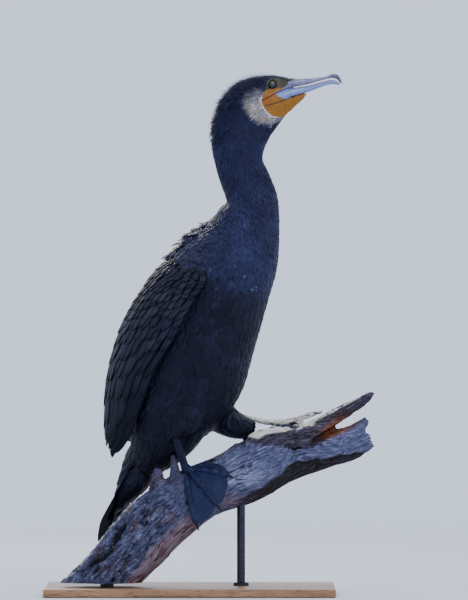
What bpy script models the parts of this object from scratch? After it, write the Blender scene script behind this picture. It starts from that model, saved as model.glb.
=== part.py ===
"""A great cormorant standing on a weathered branch, on a plain display stand.

Metres, +Z up. The bird looks towards +X, and its right side is towards -Y. The origin is the middle
of the underside of the stand's base.
"""

import math
import random

import bmesh
import bpy
import numpy as np
from mathutils import Matrix, Vector

MM = 0.001
GAP = 0.3 * MM  # clearance between pieces that meet face to face

# The trunk of the bird, from the tip of the tail to the inside of the head, in millimetres and degrees.
# Each station has its middle, the way it faces, its depth from there to the belly and to the back, and
# its half width.
TRUNK_STATIONS = {
    #             x       y      z    yaw  belly  back  wide
    "tail tip": (-132.0, 53.4, 77.0, 22, 4.0, 4.0, 10.0),
    "tail": (-102.5, 41.4, 133.0, 22, 7.0, 9.0, 14.0),
    "tail root": (-72.5, 29.3, 189.2, 22, 20.0, 25.0, 26.0),
    "vent": (-49.0, 19.8, 215.0, 22, 45.0, 46.0, 43.0),
    "rump": (-36.5, 14.7, 254.8, 22, 69.0, 74.0, 60.0),
    "belly": (-12.2, 4.9, 320.7, 22, 93.0, 97.0, 74.0),
    "middle": (10.4, -4.2, 384.2, 22, 89.0, 92.0, 77.0),
    "breast": (37.7, -15.2, 448.6, 22, 80.0, 84.0, 74.0),
    "shoulder": (63.8, -25.8, 500.2, 21, 66.0, 69.0, 62.0),
    "neck base": (82.7, -33.0, 540.0, 18, 49.0, 50.0, 46.0),
    "low neck": (89.6, -36.0, 572.0, 13, 38.0, 38.0, 35.0),
    "middle neck": (80.9, -37.0, 598.0, 9, 35.5, 35.5, 30.5),
    "high neck": (71.0, -38.0, 626.3, 5, 34.5, 34.5, 28.0),
    "nape": (70.7, -38.0, 659.0, 2, 40.0, 40.0, 26.5),
    "crown": (77.6, -38.0, 684.3, 0, 43.0, 43.0, 24.0),
    "inside head": (87.0, -38.0, 704.0, 0, 28.0, 28.0, 17.0),
}
TRUNK_SIDES = 28
BODY_YAW = 22.0  # degrees that the body is turned towards -Y
TORSO_RINGS = 17
NECK_RINGS = 7
NECK_LOW_CUT = 0.493  # metres along the trunk from the tip of the tail
NECK_MIDDLE_CUT = 0.585

# The head, in its own frame: forward along the bill and up from the eye, in millimetres.
EYE_PLACE = (119.3, -38.0, 739.4)
HEAD_TILT = 14.0  # degrees that the bill points up
HEAD_STATIONS = {
    #          forward  top  bottom  half width
    "back": (-90.0, -20.0, -62.0, 15.0),
    "poll": (-81.0, -6.0, -70.0, 20.5),
    "occiput": (-70.0, 3.0, -76.0, 23.0),
    "crown": (-54.0, 13.2, -78.0, 24.5),
    "brow": (-36.0, 16.8, -78.0, 24.0),
    "cheek": (-15.0, 16.0, -67.0, 21.0),
    "eye": (3.0, 13.2, -52.5, 16.5),
    "lore": (21.0, 5.8, -39.8, 12.5),
    "bill root": (34.0, -0.6, -32.6, 9.5),
    "pouch tip": (50.0, -6.0, -24.5, 7.0),
}
HEAD_CUT_PLACE = (88.0, -38.0, 674.0)
HEAD_CUT_NORMAL = (0.21, 0.0, 0.98)
EYE_RADIUS = 5.6 * MM
EYE_APART = 10.4 * MM  # from the middle of the head to the middle of an eye
EYE_RINGS = 8
EYE_SIDES = 12
LID_RADIUS = 1.1 * MM
LID_OUT = 2.7 * MM  # how far out from the middle of the eye its lids lie

# Upper and lower bill: forward, top, bottom, half width, as in HEAD_STATIONS.
BILL_UPPER_STATIONS = (
    (24.0, 2.6, -11.4, 9.8),
    (36.0, -1.2, -12.1, 8.8),
    (51.0, -4.6, -12.9, 7.2),
    (67.0, -7.0, -12.2, 5.8),
    (80.0, -7.6, -12.0, 5.0),
    (87.0, -6.8, -12.6, 4.9),
    (92.0, -8.2, -16.5, 4.2),
    (95.6, -12.0, -21.0, 2.9),
    (97.0, -17.0, -23.6, 1.4),
)
BILL_LOWER_STATIONS = (
    (-13.0, -19.5, -27.5, 20.6),
    (-9.0, -17.5, -28.5, 20.4),
    (2.0, -15.0, -27.0, 17.6),
    (20.7, -12.3, -25.4, 13.4),
    (36.7, -13.2, -24.6, 9.7),
    (53.5, -14.6, -23.2, 7.2),
    (70.9, -14.0, -20.9, 5.4),
    (84.0, -14.2, -20.9, 4.4),
    (90.0, -17.6, -21.8, 3.0),
)
BILL_SIDES = 12
# The front of the mouth, where the two halves of the bill face each other with nothing between.
MOUTH_STATIONS = ((28.0, -3.0, -16.0, 20.0), (70.0, -3.0, -16.0, 20.0))
# The bare pouch as it is seen from the side: behind it is the feathered throat, above it the lower bill.
POUCH_OUTLINE = (
    (-21.8, -20.5),
    (-20.6, -30.5),
    (-15.8, -39.6),
    (-9.0, -46.5),
    (1.0, -50.0),
    (9.0, -58.0),
    (60.0, -58.0),
    (60.0, -16.0),
    (22.0, -13.0),
    (2.0, -15.6),
)

# A folded wing, from the shoulder to the tip: its rear edge along the back, then its front edge, each
# in millimetres forward of the stand's middle, out from the bird's own middle, and up.
WING_EDGES = (
    ((3.0, 44.0, 494.0), (39.0, 58.0, 487.0)),
    ((-35.0, 24.0, 482.0), (58.0, 75.0, 463.0)),
    ((-71.0, 10.0, 436.0), (51.0, 82.0, 436.0)),
    ((-98.0, 7.0, 391.0), (32.0, 85.0, 401.0)),
    ((-115.0, 8.0, 340.0), (6.0, 84.0, 358.0)),
    ((-121.0, 15.0, 296.5), (-23.0, 80.0, 317.0)),
    ((-120.0, 25.0, 260.0), (-45.0, 70.0, 272.0)),
    ((-116.0, 35.0, 228.0), (-69.0, 57.0, 227.0)),
    ((-110.0, 42.0, 206.5), (-89.0, 49.0, 203.0)),
    ((-103.0, 45.0, 196.0), (-95.0, 47.0, 196.0)),
)
WING_THICKNESS = {
    # share of the length: thickness down the middle and along the edges
    0.00: (2.0 * MM, 2.0 * MM),
    0.10: (14.0 * MM, 8.0 * MM),
    0.60: (16.0 * MM, 9.0 * MM),
    0.78: (9.0 * MM, 4.0 * MM),
    1.00: (3.0 * MM, 2.5 * MM),
}
WING_ROWS = 11
WING_COLUMNS = 7
WING_END = 0.97  # share where the solid wing stops and only its feathers go on
# The wing's feathers, tier by tier from the shoulder: share of the wing where their roots lie, share
# that they are long, number, first and last place from the front edge to the rear one, half width in
# millimetres, and how far their tips stand up.
WING_TIERS = {
    "primaries": (0.60, 0.400, 4, 0.15, 0.90, 9.0, 2.2),
    "secondaries": (0.48, 0.320, 5, 0.18, 0.98, 12.0, 2.4),
    "greater coverts": (0.38, 0.210, 6, 0.05, 0.90, 12.5, 2.4),
    "median coverts": (0.28, 0.165, 6, 0.05, 0.93, 14.0, 2.2),
    "lower lesser coverts": (0.195, 0.140, 6, 0.06, 0.94, 13.5, 2.0),
    "lesser coverts": (0.125, 0.125, 6, 0.08, 0.94, 13.0, 1.9),
    "upper lesser coverts": (0.06, 0.115, 5, 0.12, 0.90, 12.5, 1.8),
    "shoulder": (0.02, 0.090, 4, 0.25, 0.85, 11.0, 1.6),
}
VANE_SINK = 1.6 * MM  # how deep a vane's root and underside lie in the wing
VANE_RIB = 0.5 * MM
VANE_PAST_EDGE = 0.03  # how far a vane may reach past the wing's edges, for the wing's width
VANE_DRIFT = 0.10  # how far a vane runs towards the rear edge, for its length
VANE_TILT = 0.55 * MM  # one edge lies over the next feather, the other under the last one

# The tail, a fan of stiff feathers.
TAIL_VANES = 12
TAIL_LENGTH = 0.127  # from the end of the torso to the tips of the middle feathers
TAIL_GRADE = 0.035  # how much shorter each feather is than the one beside it, outwards
TAIL_APEX = 0.050  # how far inside the body the fan of feathers would meet
TAIL_SPREAD = 2.6  # degrees from one feather to the next
TAIL_HALF_WIDTH = 8.5 * MM
TAIL_THICKNESS = 0.8 * MM
TAIL_STEP = 1.15 * MM  # from one feather down to the next one out
TAIL_LIFT = 6.0 * MM  # from the middle of the torso's end up to the middle feathers
# The root of the tail under its coverts: share of the length, half width in degrees, and the heights of
# its upper and under side from the middle feathers.
TAIL_ROOT = (
    (0.0, 21.0, 13.0 * MM, -21.0 * MM),
    (0.14, 20.0, 8.5 * MM, -17.0 * MM),
    (0.30, 17.0, 3.5 * MM, -11.0 * MM),
    (0.44, 12.0, 0.6 * MM, -8.0 * MM),
)
TAIL_ROOT_COLUMNS = 7
TAIL_ROOT_BEND = 1.36  # radians from the middle of its section to its edges

# The legs, the bird's right one nearer to -Y.
THIGH_STATIONS = {
    # x, y, z and radius from inside the belly to the ankle, in millimetres
    "right": (
        (2, -30, 290, 26),
        (0, -42, 270, 27),
        (-6, -46, 252, 20),
        (-16, -42, 240, 12),
        (-21, -40, 233, 8),
    ),
    "left": (
        (18, 34, 290, 26),
        (28, 32, 268, 27),
        (48, 24, 249, 18),
        (60, 19.5, 246, 14.5),
        (69, 15.5, 243, 9),
    ),
}
ANKLES = {"right": (-24.0, -39.0, 238.0), "left": (60.0, 18.0, 245.0)}
# Each foot is laid out flat and then draped over the perch: its joint, as millimetres along the perch
# from the named station and round it towards -Y from the top, and its toes from the inner one out.
FOOT_JOINTS = {"right": ("right foot", 0.0, 16.0), "left": ("left foot", 36.0, -8.0)}
TOES = {
    # direction in degrees and length in millimetres
    "right": ((9.0, 31.0), (44.0, 55.0), (82.0, 69.0), (114.0, 87.0)),
    "left": ((0.0, 31.0), (-28.0, 55.0), (-52.0, 69.0), (-74.0, 87.0)),
}
DRAPE_LIMIT = 78.0  # degrees round the perch where a hanging toe leaves it
DRAPE_RADIUS = 44.0 * MM
FOOT_CLEARANCE = 0.6 * MM
FOOT_START = 7.0 * MM
FOOT_ROWS = 7
TOE_WIDTH = 4.4 * MM
TOE_HEIGHT = (7.0 * MM, 4.2 * MM)  # at the joint and at the tip
WEB_THICKNESS = 1.5 * MM
WEB_REACH = 0.90  # of the way to the tips, at the middle of a web
BALL_RADIUS = 8.2 * MM
BALL_RINGS = 8
BALL_SIDES = 10
# A claw: distance past the toe's tip, height over the wood and radius, in millimetres.
CLAW_STEPS = ((-5.0, 2.4, 1.8), (0.0, 3.4, 2.0), (5.0, 3.2, 1.4), (9.5, 1.0, 0.3))
CLAW_SIDES = 5
THIGH_SIDES = 14
SHANK_SIDES = 10
SHANK_RADII = (6.4 * MM, 5.6 * MM, 5.4 * MM, 6.0 * MM, 6.6 * MM)

# The perch's middle line and radii, in millimetres, from below the saw cut to the broken end.
PERCH_STATIONS = {
    #                x       y      z    radius
    "below the cut": (-166.0, -46.0, -35.0, 47.0),
    "cut": (-147.9, -44.0, -14.0, 47.0),
    "butt": (-108.8, -40.0, 35.5, 45.0),
    "under the tail": (-50.8, -26.0, 100.7, 46.0),
    "right foot": (10.0, -12.0, 145.0, 42.0),
    "left foot": (68.2, 0.0, 169.5, 41.0),
    "beyond": (147.9, 5.0, 206.0, 39.0),
    "fork": (195.8, 5.0, 216.0, 33.0),
    "lower prong": (234.9, 5.0, 222.0, 26.0),
    "broken end": (256.0, 5.0, 234.0, 22.0),
}
PERCH_RINGS = 27
PERCH_SIDES = 16
PERCH_CUT_HEIGHT = 18.0 * MM
PERCH_BREAK = 6.0 * MM  # how ragged the broken end is
# What sticks out of the perch: places in millimetres, each with its half height and half thickness.
PERCH_SNAGS = {
    "upper prong": (
        (150.0, 14.0, 222.0, 16.0, 12.0),
        (190.0, 19.0, 244.0, 14.0, 11.0),
        (218.0, 22.0, 258.0, 9.5, 9.0),
        (245.0, 24.0, 277.0, 6.5, 7.0),
        (266.0, 24.0, 290.5, 1.5, 2.5),
    ),
    "splinter": (
        (196.0, 8.0, 250.0, 12.0, 8.0),
        (170.0, 4.0, 250.0, 10.5, 6.0),
        (140.0, -2.0, 243.0, 11.0, 5.0),
        (115.0, -8.0, 240.0, 10.0, 4.0),
        (99.0, -12.0, 238.0, 3.0, 2.0),
    ),
    "rear stub": (
        (-44.0, -30.0, 120.0, 13.0, 12.0),
        (-45.0, -30.0, 148.0, 10.0, 9.0),
        (-46.0, -28.0, 168.0, 6.0, 6.0),
        (-48.0, -27.0, 181.0, 1.5, 2.0),
    ),
    "front stub": (
        (-19.0, -24.0, 140.0, 12.0, 10.0),
        (-21.0, -26.0, 168.0, 8.0, 7.5),
        (-23.5, -28.0, 188.0, 6.0, 6.0),
        (-25.5, -29.0, 202.0, 3.0, 3.0),
    ),
}
SNAG_SIDES = 9

# The stand.
BASE_LENGTH = 0.420
BASE_WIDTH = 0.260
BASE_THICKNESS = 0.012
BASE_CORNER = 0.040
BASE_EDGE = 0.002
CORNER_POINTS = 6
FRONT_ROD = (0.074, 0.000)
FRONT_ROD_RADIUS = 0.006
REAR_ROD = (-0.120, -0.040)
REAR_ROD_RADIUS = 0.010
ROD_SIDES = 18

COLOURS = {
    "plumage": (0.012, 0.014, 0.024),
    "wing": (0.030, 0.026, 0.026),
    "bill": (0.42, 0.42, 0.47),
    "pouch": (0.72, 0.36, 0.03),
    "eye": (0.02, 0.22, 0.17),
    "foot": (0.012, 0.013, 0.018),
    "wood": (0.30, 0.27, 0.26),
    "base": (0.55, 0.40, 0.26),
    "steel": (0.10, 0.10, 0.11),
}
ROUGHNESS = {"eye": 0.05, "bill": 0.35, "pouch": 0.45, "steel": 0.4, "base": 0.4}


def material(name):
    """The material of that name, made once."""
    if name in bpy.data.materials:
        return bpy.data.materials[name]
    made = bpy.data.materials.new(name)
    made.use_nodes = True
    shader = made.node_tree.nodes["Principled BSDF"]
    shader.inputs["Base Color"].default_value = (*COLOURS[name], 1.0)
    shader.inputs["Roughness"].default_value = ROUGHNESS.get(name, 0.6)
    shader.inputs["Metallic"].default_value = 1.0 if name == "steel" else 0.0
    return made


def mesh_object(name, points, faces, finish):
    """A closed mesh from points and faces, with its faces turned outwards."""
    mesh = bpy.data.meshes.new(name)
    mesh.from_pydata([tuple(p) for p in points], [], [tuple(f) for f in faces])
    form = bmesh.new()
    form.from_mesh(mesh)
    bmesh.ops.recalc_face_normals(form, faces=form.faces)
    form.to_mesh(mesh)
    form.free()
    mesh.materials.append(material(finish))
    made = bpy.data.objects.new(name, mesh)
    bpy.context.scene.collection.objects.link(made)
    return made


def loft(name, rings, finish):
    """A closed solid through rings of points, with a fan at each end."""
    rings = np.asarray(rings, float)
    count, sides = rings.shape[:2]
    points = [*rings.reshape(-1, 3), rings[0].mean(0), rings[-1].mean(0)]
    first, last = count * sides, count * sides + 1
    faces = []
    for i in range(sides):
        j = (i + 1) % sides
        faces.append((first, j, i))
        faces.append((last, (count - 1) * sides + i, (count - 1) * sides + j))
        for r in range(count - 1):
            low, high = r * sides, (r + 1) * sides
            faces.append((low + i, low + j, high + j))
            faces.append((low + i, high + j, high + i))
    return mesh_object(name, points, faces, finish)


def shell(name, outer, inner, finish):
    """A closed sheet between two grids of points of the same size, split alike on both faces."""
    outer, inner = np.asarray(outer, float), np.asarray(inner, float)
    rows, columns = outer.shape[:2]
    below = rows * columns
    faces = []
    for r in range(rows - 1):
        for c in range(columns - 1):
            a, b = r * columns + c, r * columns + c + 1
            d, e = a + columns, b + columns
            faces += [(a, b, e), (a, e, d)]
            faces += [(below + a, below + e, below + b), (below + a, below + d, below + e)]
    rim = list(range(columns))
    rim += [r * columns + columns - 1 for r in range(1, rows)]
    rim += [(rows - 1) * columns + c for c in range(columns - 2, -1, -1)]
    rim += [r * columns for r in range(rows - 2, 0, -1)]
    for a, b in zip(rim, rim[1:] + rim[:1]):
        faces += [(a, below + a, below + b), (a, below + b, b)]
    return mesh_object(name, [*outer.reshape(-1, 3), *inner.reshape(-1, 3)], faces, finish)


def on_curve(knots, values, at):
    """The values at one place of a smooth curve that passes through all the knots."""
    slopes = np.gradient(values, knots, axis=0)
    i = int(np.clip(np.searchsorted(knots, at) - 1, 0, len(knots) - 2))
    step = knots[i + 1] - knots[i]
    t = (at - knots[i]) / step
    return (
        values[i] * (1 + 2 * t) * (1 - t) ** 2
        + values[i + 1] * t * t * (3 - 2 * t)
        + step * slopes[i] * t * (1 - t) ** 2
        + step * slopes[i + 1] * t * t * (t - 1)
    )


def distances(points):
    """How far along the line through these points each one lies."""
    steps = np.linalg.norm(np.diff(points, axis=0), axis=1)
    return np.concatenate([[0.0], np.cumsum(steps)])


TRUNK = np.array(list(TRUNK_STATIONS.values()))
TRUNK[:, [0, 1, 2, 4, 5, 6]] *= MM
TRUNK_KNOTS = distances(TRUNK[:, :3])
TRUNK_PLACES = dict(zip(TRUNK_STATIONS, TRUNK_KNOTS))
PERCH = np.array(list(PERCH_STATIONS.values())) * MM
PERCH_KNOTS = distances(PERCH[:, :3])
PERCH_PLACES = dict(zip(PERCH_STATIONS, PERCH_KNOTS))


def trunk_frame(along):
    """Middle, way to the back, way to the bird's left, and the three sizes, at a place on the trunk."""
    here = on_curve(TRUNK_KNOTS, TRUNK, along)
    ahead = on_curve(TRUNK_KNOTS, TRUNK, along + MM)[:3] - on_curve(TRUNK_KNOTS, TRUNK, along - MM)[:3]
    ahead /= np.linalg.norm(ahead)
    yaw = math.radians(here[3])
    left = np.array([math.sin(yaw), math.cos(yaw), 0.0])
    left -= ahead * (left @ ahead)
    left /= np.linalg.norm(left)
    return here[:3], np.cross(ahead, left), left, here[4:7]


def trunk_point(along, angle, lift=0.0):
    """A point round the trunk. The angle is 0 on the back and 90 degrees on the left side."""
    middle, back, left, (to_belly, to_back, wide) = trunk_frame(along)
    turn = math.radians(angle)
    deep = to_belly + (to_back - to_belly) * max(0.0, math.cos(turn)) + lift
    return middle + back * deep * math.cos(turn) + left * (wide + lift) * math.sin(turn)


def trunk_loft(name, start, end, rings, lift=0.0):
    """A length of the trunk between two places."""
    angles = np.arange(TRUNK_SIDES) * 360.0 / TRUNK_SIDES
    places = np.linspace(start, end, rings)
    return loft(name, [[trunk_point(u, a, lift) for a in angles] for u in places], "plumage")


def head_point(forward, up, across=0.0):
    """A point of the head's frame, given in millimetres."""
    tilt = math.radians(HEAD_TILT)
    return np.array(EYE_PLACE) * MM + MM * np.array(
        [
            forward * math.cos(tilt) - up * math.sin(tilt),
            across,
            forward * math.sin(tilt) + up * math.cos(tilt),
        ]
    )


def head_ring(forward, top, bottom, half_width, sides, power=2.0, grow=0.0):
    """An upright oval across the head or bill. A power over 2 makes it boxier."""
    middle, half = (top + bottom) / 2, (top - bottom) / 2 + grow
    ring = []
    for i in range(sides):
        turn = 2 * math.pi * i / sides
        c, s = math.cos(turn), math.sin(turn)
        up = middle + half * math.copysign(abs(c) ** (2 / power), c)
        across = (half_width + grow) * math.copysign(abs(s) ** (2 / power), s)
        ring.append(head_point(forward, up, across))
    return ring


def perch_frame(along):
    """Middle, way up across the grain, way across, and radius, at a place on the perch."""
    here = on_curve(PERCH_KNOTS, PERCH, along)
    ahead = on_curve(PERCH_KNOTS, PERCH, along + MM)[:3] - on_curve(PERCH_KNOTS, PERCH, along - MM)[:3]
    ahead /= np.linalg.norm(ahead)
    up = np.array([0.0, 0.0, 1.0]) - ahead * ahead[2]
    up /= np.linalg.norm(up)
    return here[:3], up, np.cross(up, ahead), here[3]


def perch_radius(along, angle, radius):
    """The weathered section: long ridges that wind slowly round the wood, and a few swellings."""
    turn = math.radians(angle)
    wind = 5.0 * along
    ridges = 0.045 * math.cos(3 * turn + wind) + 0.03 * math.cos(5 * turn - 2 * wind)
    swelling = 0.03 * math.sin(38 * along + 1.0) + 0.02 * math.sin(2 * turn + 61 * along)
    return radius * (1.0 + ridges + swelling)


def perch_point(along, angle, lift=0.0):
    """A point on the perch. The angle is 0 on top and 90 degrees on the side towards -Y."""
    middle, up, across, radius = perch_frame(along)
    reach = perch_radius(along, angle, radius) + lift
    turn = math.radians(angle)
    return middle + (up * math.cos(turn) - across * math.sin(turn)) * reach


def use_modifier(target, kind, **settings):
    """Adds a modifier, sets it and applies it."""
    modifier = target.modifiers.new(kind.title(), kind)
    for key, value in settings.items():
        setattr(modifier, key, value)
    graph = bpy.context.evaluated_depsgraph_get()
    mesh = bpy.data.meshes.new_from_object(target.evaluated_get(graph))
    target.modifiers.clear()
    target.data = mesh


def remove(*objects):
    for made in objects:
        bpy.data.objects.remove(made)


def copy_of(source, name, finish):
    """A copy of a solid under another name, in another finish."""
    made = source.copy()
    made.name = name
    made.data = source.data.copy()
    made.data.materials.clear()
    made.data.materials.append(material(finish))
    bpy.context.scene.collection.objects.link(made)
    return made


def keep_largest(target):
    """Leaves only the largest closed surface of a mesh."""
    form = bmesh.new()
    form.from_mesh(target.data)
    form.faces.ensure_lookup_table()
    unseen, groups = set(form.faces), []
    while unseen:
        group, front = set(), [unseen.pop()]
        while front:
            face = front.pop()
            group.add(face)
            for edge in face.edges:
                for other in edge.link_faces:
                    if other in unseen:
                        unseen.remove(other)
                        front.append(other)
        groups.append(group)
    if len(groups) > 1:
        largest = max(groups, key=lambda g: sum(f.calc_area() for f in g))
        loose = [f for g in groups if g is not largest for f in g]
        bmesh.ops.delete(form, geom=loose, context="FACES")
        form.to_mesh(target.data)
    form.free()


def fuse(target, pieces, solver="EXACT"):
    """Joins closed pieces to a target as one body."""
    bundle = bpy.data.collections.new("bundle")
    bpy.context.scene.collection.children.link(bundle)
    for piece in pieces:
        for home in list(piece.users_collection):
            home.objects.unlink(piece)
        bundle.objects.link(piece)
    settings = {"operation": "UNION", "operand_type": "COLLECTION", "solver": solver}
    use_modifier(target, "BOOLEAN", collection=bundle, **settings)
    remove(*pieces)
    bpy.data.collections.remove(bundle)
    keep_largest(target)


def cut(target, cutter, operation="DIFFERENCE", keep=False):
    """Cuts a target with another solid, which is then removed unless it is kept."""
    use_modifier(target, "BOOLEAN", operation=operation, object=cutter)
    if not keep:
        remove(cutter)
    keep_largest(target)


def slice_off(target, place, normal):
    """Removes all of a solid on the side of a plane that its normal points to, and closes the cut."""
    form = bmesh.new()
    form.from_mesh(target.data)
    everything = [*form.verts, *form.edges, *form.faces]
    found = bmesh.ops.bisect_plane(
        form, geom=everything, plane_co=place, plane_no=normal, clear_outer=True, dist=1e-7
    )
    edges = [e for e in found["geom_cut"] if isinstance(e, bmesh.types.BMEdge)]
    bmesh.ops.triangle_fill(form, edges=edges, use_beauty=True)
    bmesh.ops.recalc_face_normals(form, faces=form.faces)
    form.to_mesh(target.data)
    form.free()


def tube(name, points, radii, sides, finish):
    """A closed round tube along points, with its own radius at each."""
    points = [Vector(p) for p in points]
    rings = []
    side = Vector((0.0, 0.0, 1.0))
    for i, point in enumerate(points):
        ahead = (points[min(i + 1, len(points) - 1)] - points[max(i - 1, 0)]).normalized()
        side = side - ahead * side.dot(ahead)
        if side.length < 1e-3:
            side = ahead.orthogonal()
        side.normalize()
        other = ahead.cross(side)
        turns = [2 * math.pi * k / sides for k in range(sides)]
        rings.append([point + (side * math.cos(t) + other * math.sin(t)) * radii[i] for t in turns])
    return loft(name, rings, finish)


def ellipsoid(name, place, sizes, finish, rings, sides, turn=Matrix.Identity(4)):
    """A closed ellipsoid with the given half sizes."""
    bpy.ops.mesh.primitive_uv_sphere_add(segments=sides, ring_count=rings, radius=1.0)
    made = bpy.context.object
    made.name = made.data.name = name
    shape = Matrix.Diagonal((*sizes, 1.0))
    made.data.transform(Matrix.Translation(place) @ turn @ shape)
    made.data.materials.append(material(finish))
    return made


def clear_scene():
    for old in list(bpy.data.objects):
        bpy.data.objects.remove(old)


def bird_plane(along):
    """Place and normal of the plane across the trunk at one place."""
    middle, back, left, _ = trunk_frame(along)
    return middle, np.cross(left, back)


def make_torso(lift=0.0, name="torso"):
    """Breast, back, belly and rump as one solid."""
    start = TRUNK_PLACES["tail root"]
    return trunk_loft(name, start + GAP / 2 - lift, NECK_LOW_CUT - GAP / 2 + lift, TORSO_RINGS, lift)


def make_neck():
    """The neck in two lengths. The upper one reaches into the head, and make_head cuts it there."""
    trunk_loft("neck_lower", NECK_LOW_CUT + GAP / 2, NECK_MIDDLE_CUT - GAP / 2, NECK_RINGS)
    return trunk_loft(
        "neck_upper", NECK_MIDDLE_CUT + GAP / 2, TRUNK_PLACES["inside head"], NECK_RINGS + 2
    )


def pouch_region(name, grow):
    """The space of the bare pouch, as wide as the head, a little larger all round by grow."""
    middle = np.mean(POUCH_OUTLINE, axis=0)
    rings = []
    for across in (-40.0, 40.0):
        ring = []
        for forward, up in POUCH_OUTLINE:
            away = np.array([forward, up]) - middle
            away = away * (1 + grow / np.linalg.norm(away))
            ring.append(head_point(*(middle + away), across))
        rings.append(ring)
    return loft(name, rings, "pouch")


def make_bill(name, stations, grow=0.0):
    rings = [head_ring(*station, BILL_SIDES, 2.3, grow) for station in stations]
    return loft(name, rings, "bill")


def eye_middle(side):
    return Vector(head_point(0.0, 0.0, side * EYE_APART / MM))


def eye_turn(side):
    """An eye's frame: its Z runs out of the head, a little forwards and up."""
    out = Vector((0.30, side, 0.12)).normalized()
    return out.to_track_quat("Z", "Y").to_matrix().to_4x4()


def make_eyelid(side):
    """The raised ring of bare skin round an eye."""
    bpy.ops.mesh.primitive_torus_add(
        major_segments=14, minor_segments=5, major_radius=EYE_RADIUS + GAP, minor_radius=LID_RADIUS
    )
    ring = bpy.context.object
    place = eye_middle(side) + eye_turn(side).to_3x3() @ Vector((0.0, 0.0, LID_OUT))
    ring.data.transform(Matrix.Translation(place) @ eye_turn(side))
    return ring


def make_head(neck_upper):
    """The head with its eyes, bill and pouch, parted by thin cuts, and the end of the neck."""
    rings = [head_ring(*station, TRUNK_SIDES, 2.15) for station in HEAD_STATIONS.values()]
    head = loft("head", rings, "plumage")
    lids = [make_eyelid(side) for side in (-1, 1)]
    fuse(head, [copy_of(neck_upper, "spare neck", "plumage"), *lids])

    pouch = copy_of(head, "gular_pouch", "pouch")
    cut(pouch, pouch_region("region", 0.0), "INTERSECT")
    cut(head, pouch_region("region", GAP / MM))
    cut(head, make_bill("cutter", MOUTH_STATIONS))
    for stations in (BILL_UPPER_STATIONS, BILL_LOWER_STATIONS):
        cutter = make_bill("cutter", stations, GAP / MM)
        cut(head, cutter, keep=True)
        cut(pouch, cutter)
    make_bill("bill_upper", BILL_UPPER_STATIONS)
    make_bill("bill_lower", BILL_LOWER_STATIONS)

    for side, name in ((-1, "eye_right"), (1, "eye_left")):
        place, turn = eye_middle(side), eye_turn(side)
        ellipsoid(name, place, (EYE_RADIUS,) * 3, "eye", EYE_RINGS, EYE_SIDES, turn)
        hole = (EYE_RADIUS + GAP,) * 3
        cut(head, ellipsoid("socket", place, hole, "eye", EYE_RINGS, EYE_SIDES, turn))

    place, normal = Vector(HEAD_CUT_PLACE) * MM, Vector(HEAD_CUT_NORMAL).normalized()
    slice_off(head, place + normal * GAP / 2, -normal)
    keep_largest(head)
    slice_off(neck_upper, place - normal * GAP / 2, normal)
    return head


WING = np.array(WING_EDGES) * MM
WING_KNOTS = distances(WING.mean(1))
WING_KNOTS /= WING_KNOTS[-1]


def bird_point(side, forward, out, up):
    """A point from its distance forward, out to the given side of the bird, and up."""
    turn = math.radians(BODY_YAW)
    x = forward * math.cos(turn) + side * out * math.sin(turn)
    y = -forward * math.sin(turn) + side * out * math.cos(turn)
    return np.array([x, y, up])


def wing_base(side, share, across):
    """The outer face of a folded wing: share is 0 at the shoulder and 1 at the tip, across is 0 at the
    front edge and 1 at the rear edge. It bends round the body as a quarter of an oval does."""
    rear, front = on_curve(WING_KNOTS, WING, share)
    turn = across * math.pi / 2
    forward = front[0] + (rear[0] - front[0]) * math.sin(turn)
    out = rear[1] + (front[1] - rear[1]) * math.cos(turn)
    return bird_point(side, forward, out, front[2] + (rear[2] - front[2]) * across)


def wing_point(side, share, across, lift=0.0):
    """A point above or under the outer face of a folded wing."""
    step = 0.004
    down = wing_base(side, share + step, across) - wing_base(side, share - step, across)
    round_it = wing_base(side, share, across + step) - wing_base(side, share, across - step)
    normal = np.cross(down, round_it) * side
    return wing_base(side, share, across) + normal / np.linalg.norm(normal) * lift


def wing_inner(side, share, across):
    """The inner face, which make_wing trims to the body where they meet."""
    middle, edge = on_curve(
        np.array(list(WING_THICKNESS)), np.array(list(WING_THICKNESS.values())), share
    )
    return wing_point(side, share, across, -(edge + (middle - edge) * math.sin(math.pi * across)))


def wing_vane(side, share, across, length, half_width, rise, sink, past):
    """One feather that lies on the wing: a flat wedge with its root and underside in the wing."""
    reach = np.linalg.norm(wing_base(side, share, 0.0) - wing_base(side, share, 1.0)) * 1.15
    outline = ((0.0, 0.0, 0.70), (0.55, 0.55, 1.0), (1.0, 0.86, 0.62))
    upper, lower = [], []
    for centre, edge, wide in outline:
        upper.append([])
        lower.append([])
        for column in (-1, 0, 1):
            on = centre if column == 0 else edge
            s = share + length * on
            c = across + VANE_DRIFT * length * on + column * wide * half_width / reach
            c = float(np.clip(c, -past, 1 + past))
            lift = (rise + sink) * on ** 0.7 - sink * 0.6
            lift += VANE_RIB * (column == 0) - column * VANE_TILT * on
            upper[-1].append(wing_point(side, s, c, lift))
            lower[-1].append(wing_point(side, s, c, -sink))
    return shell("vane", upper, lower, "wing")


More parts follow.
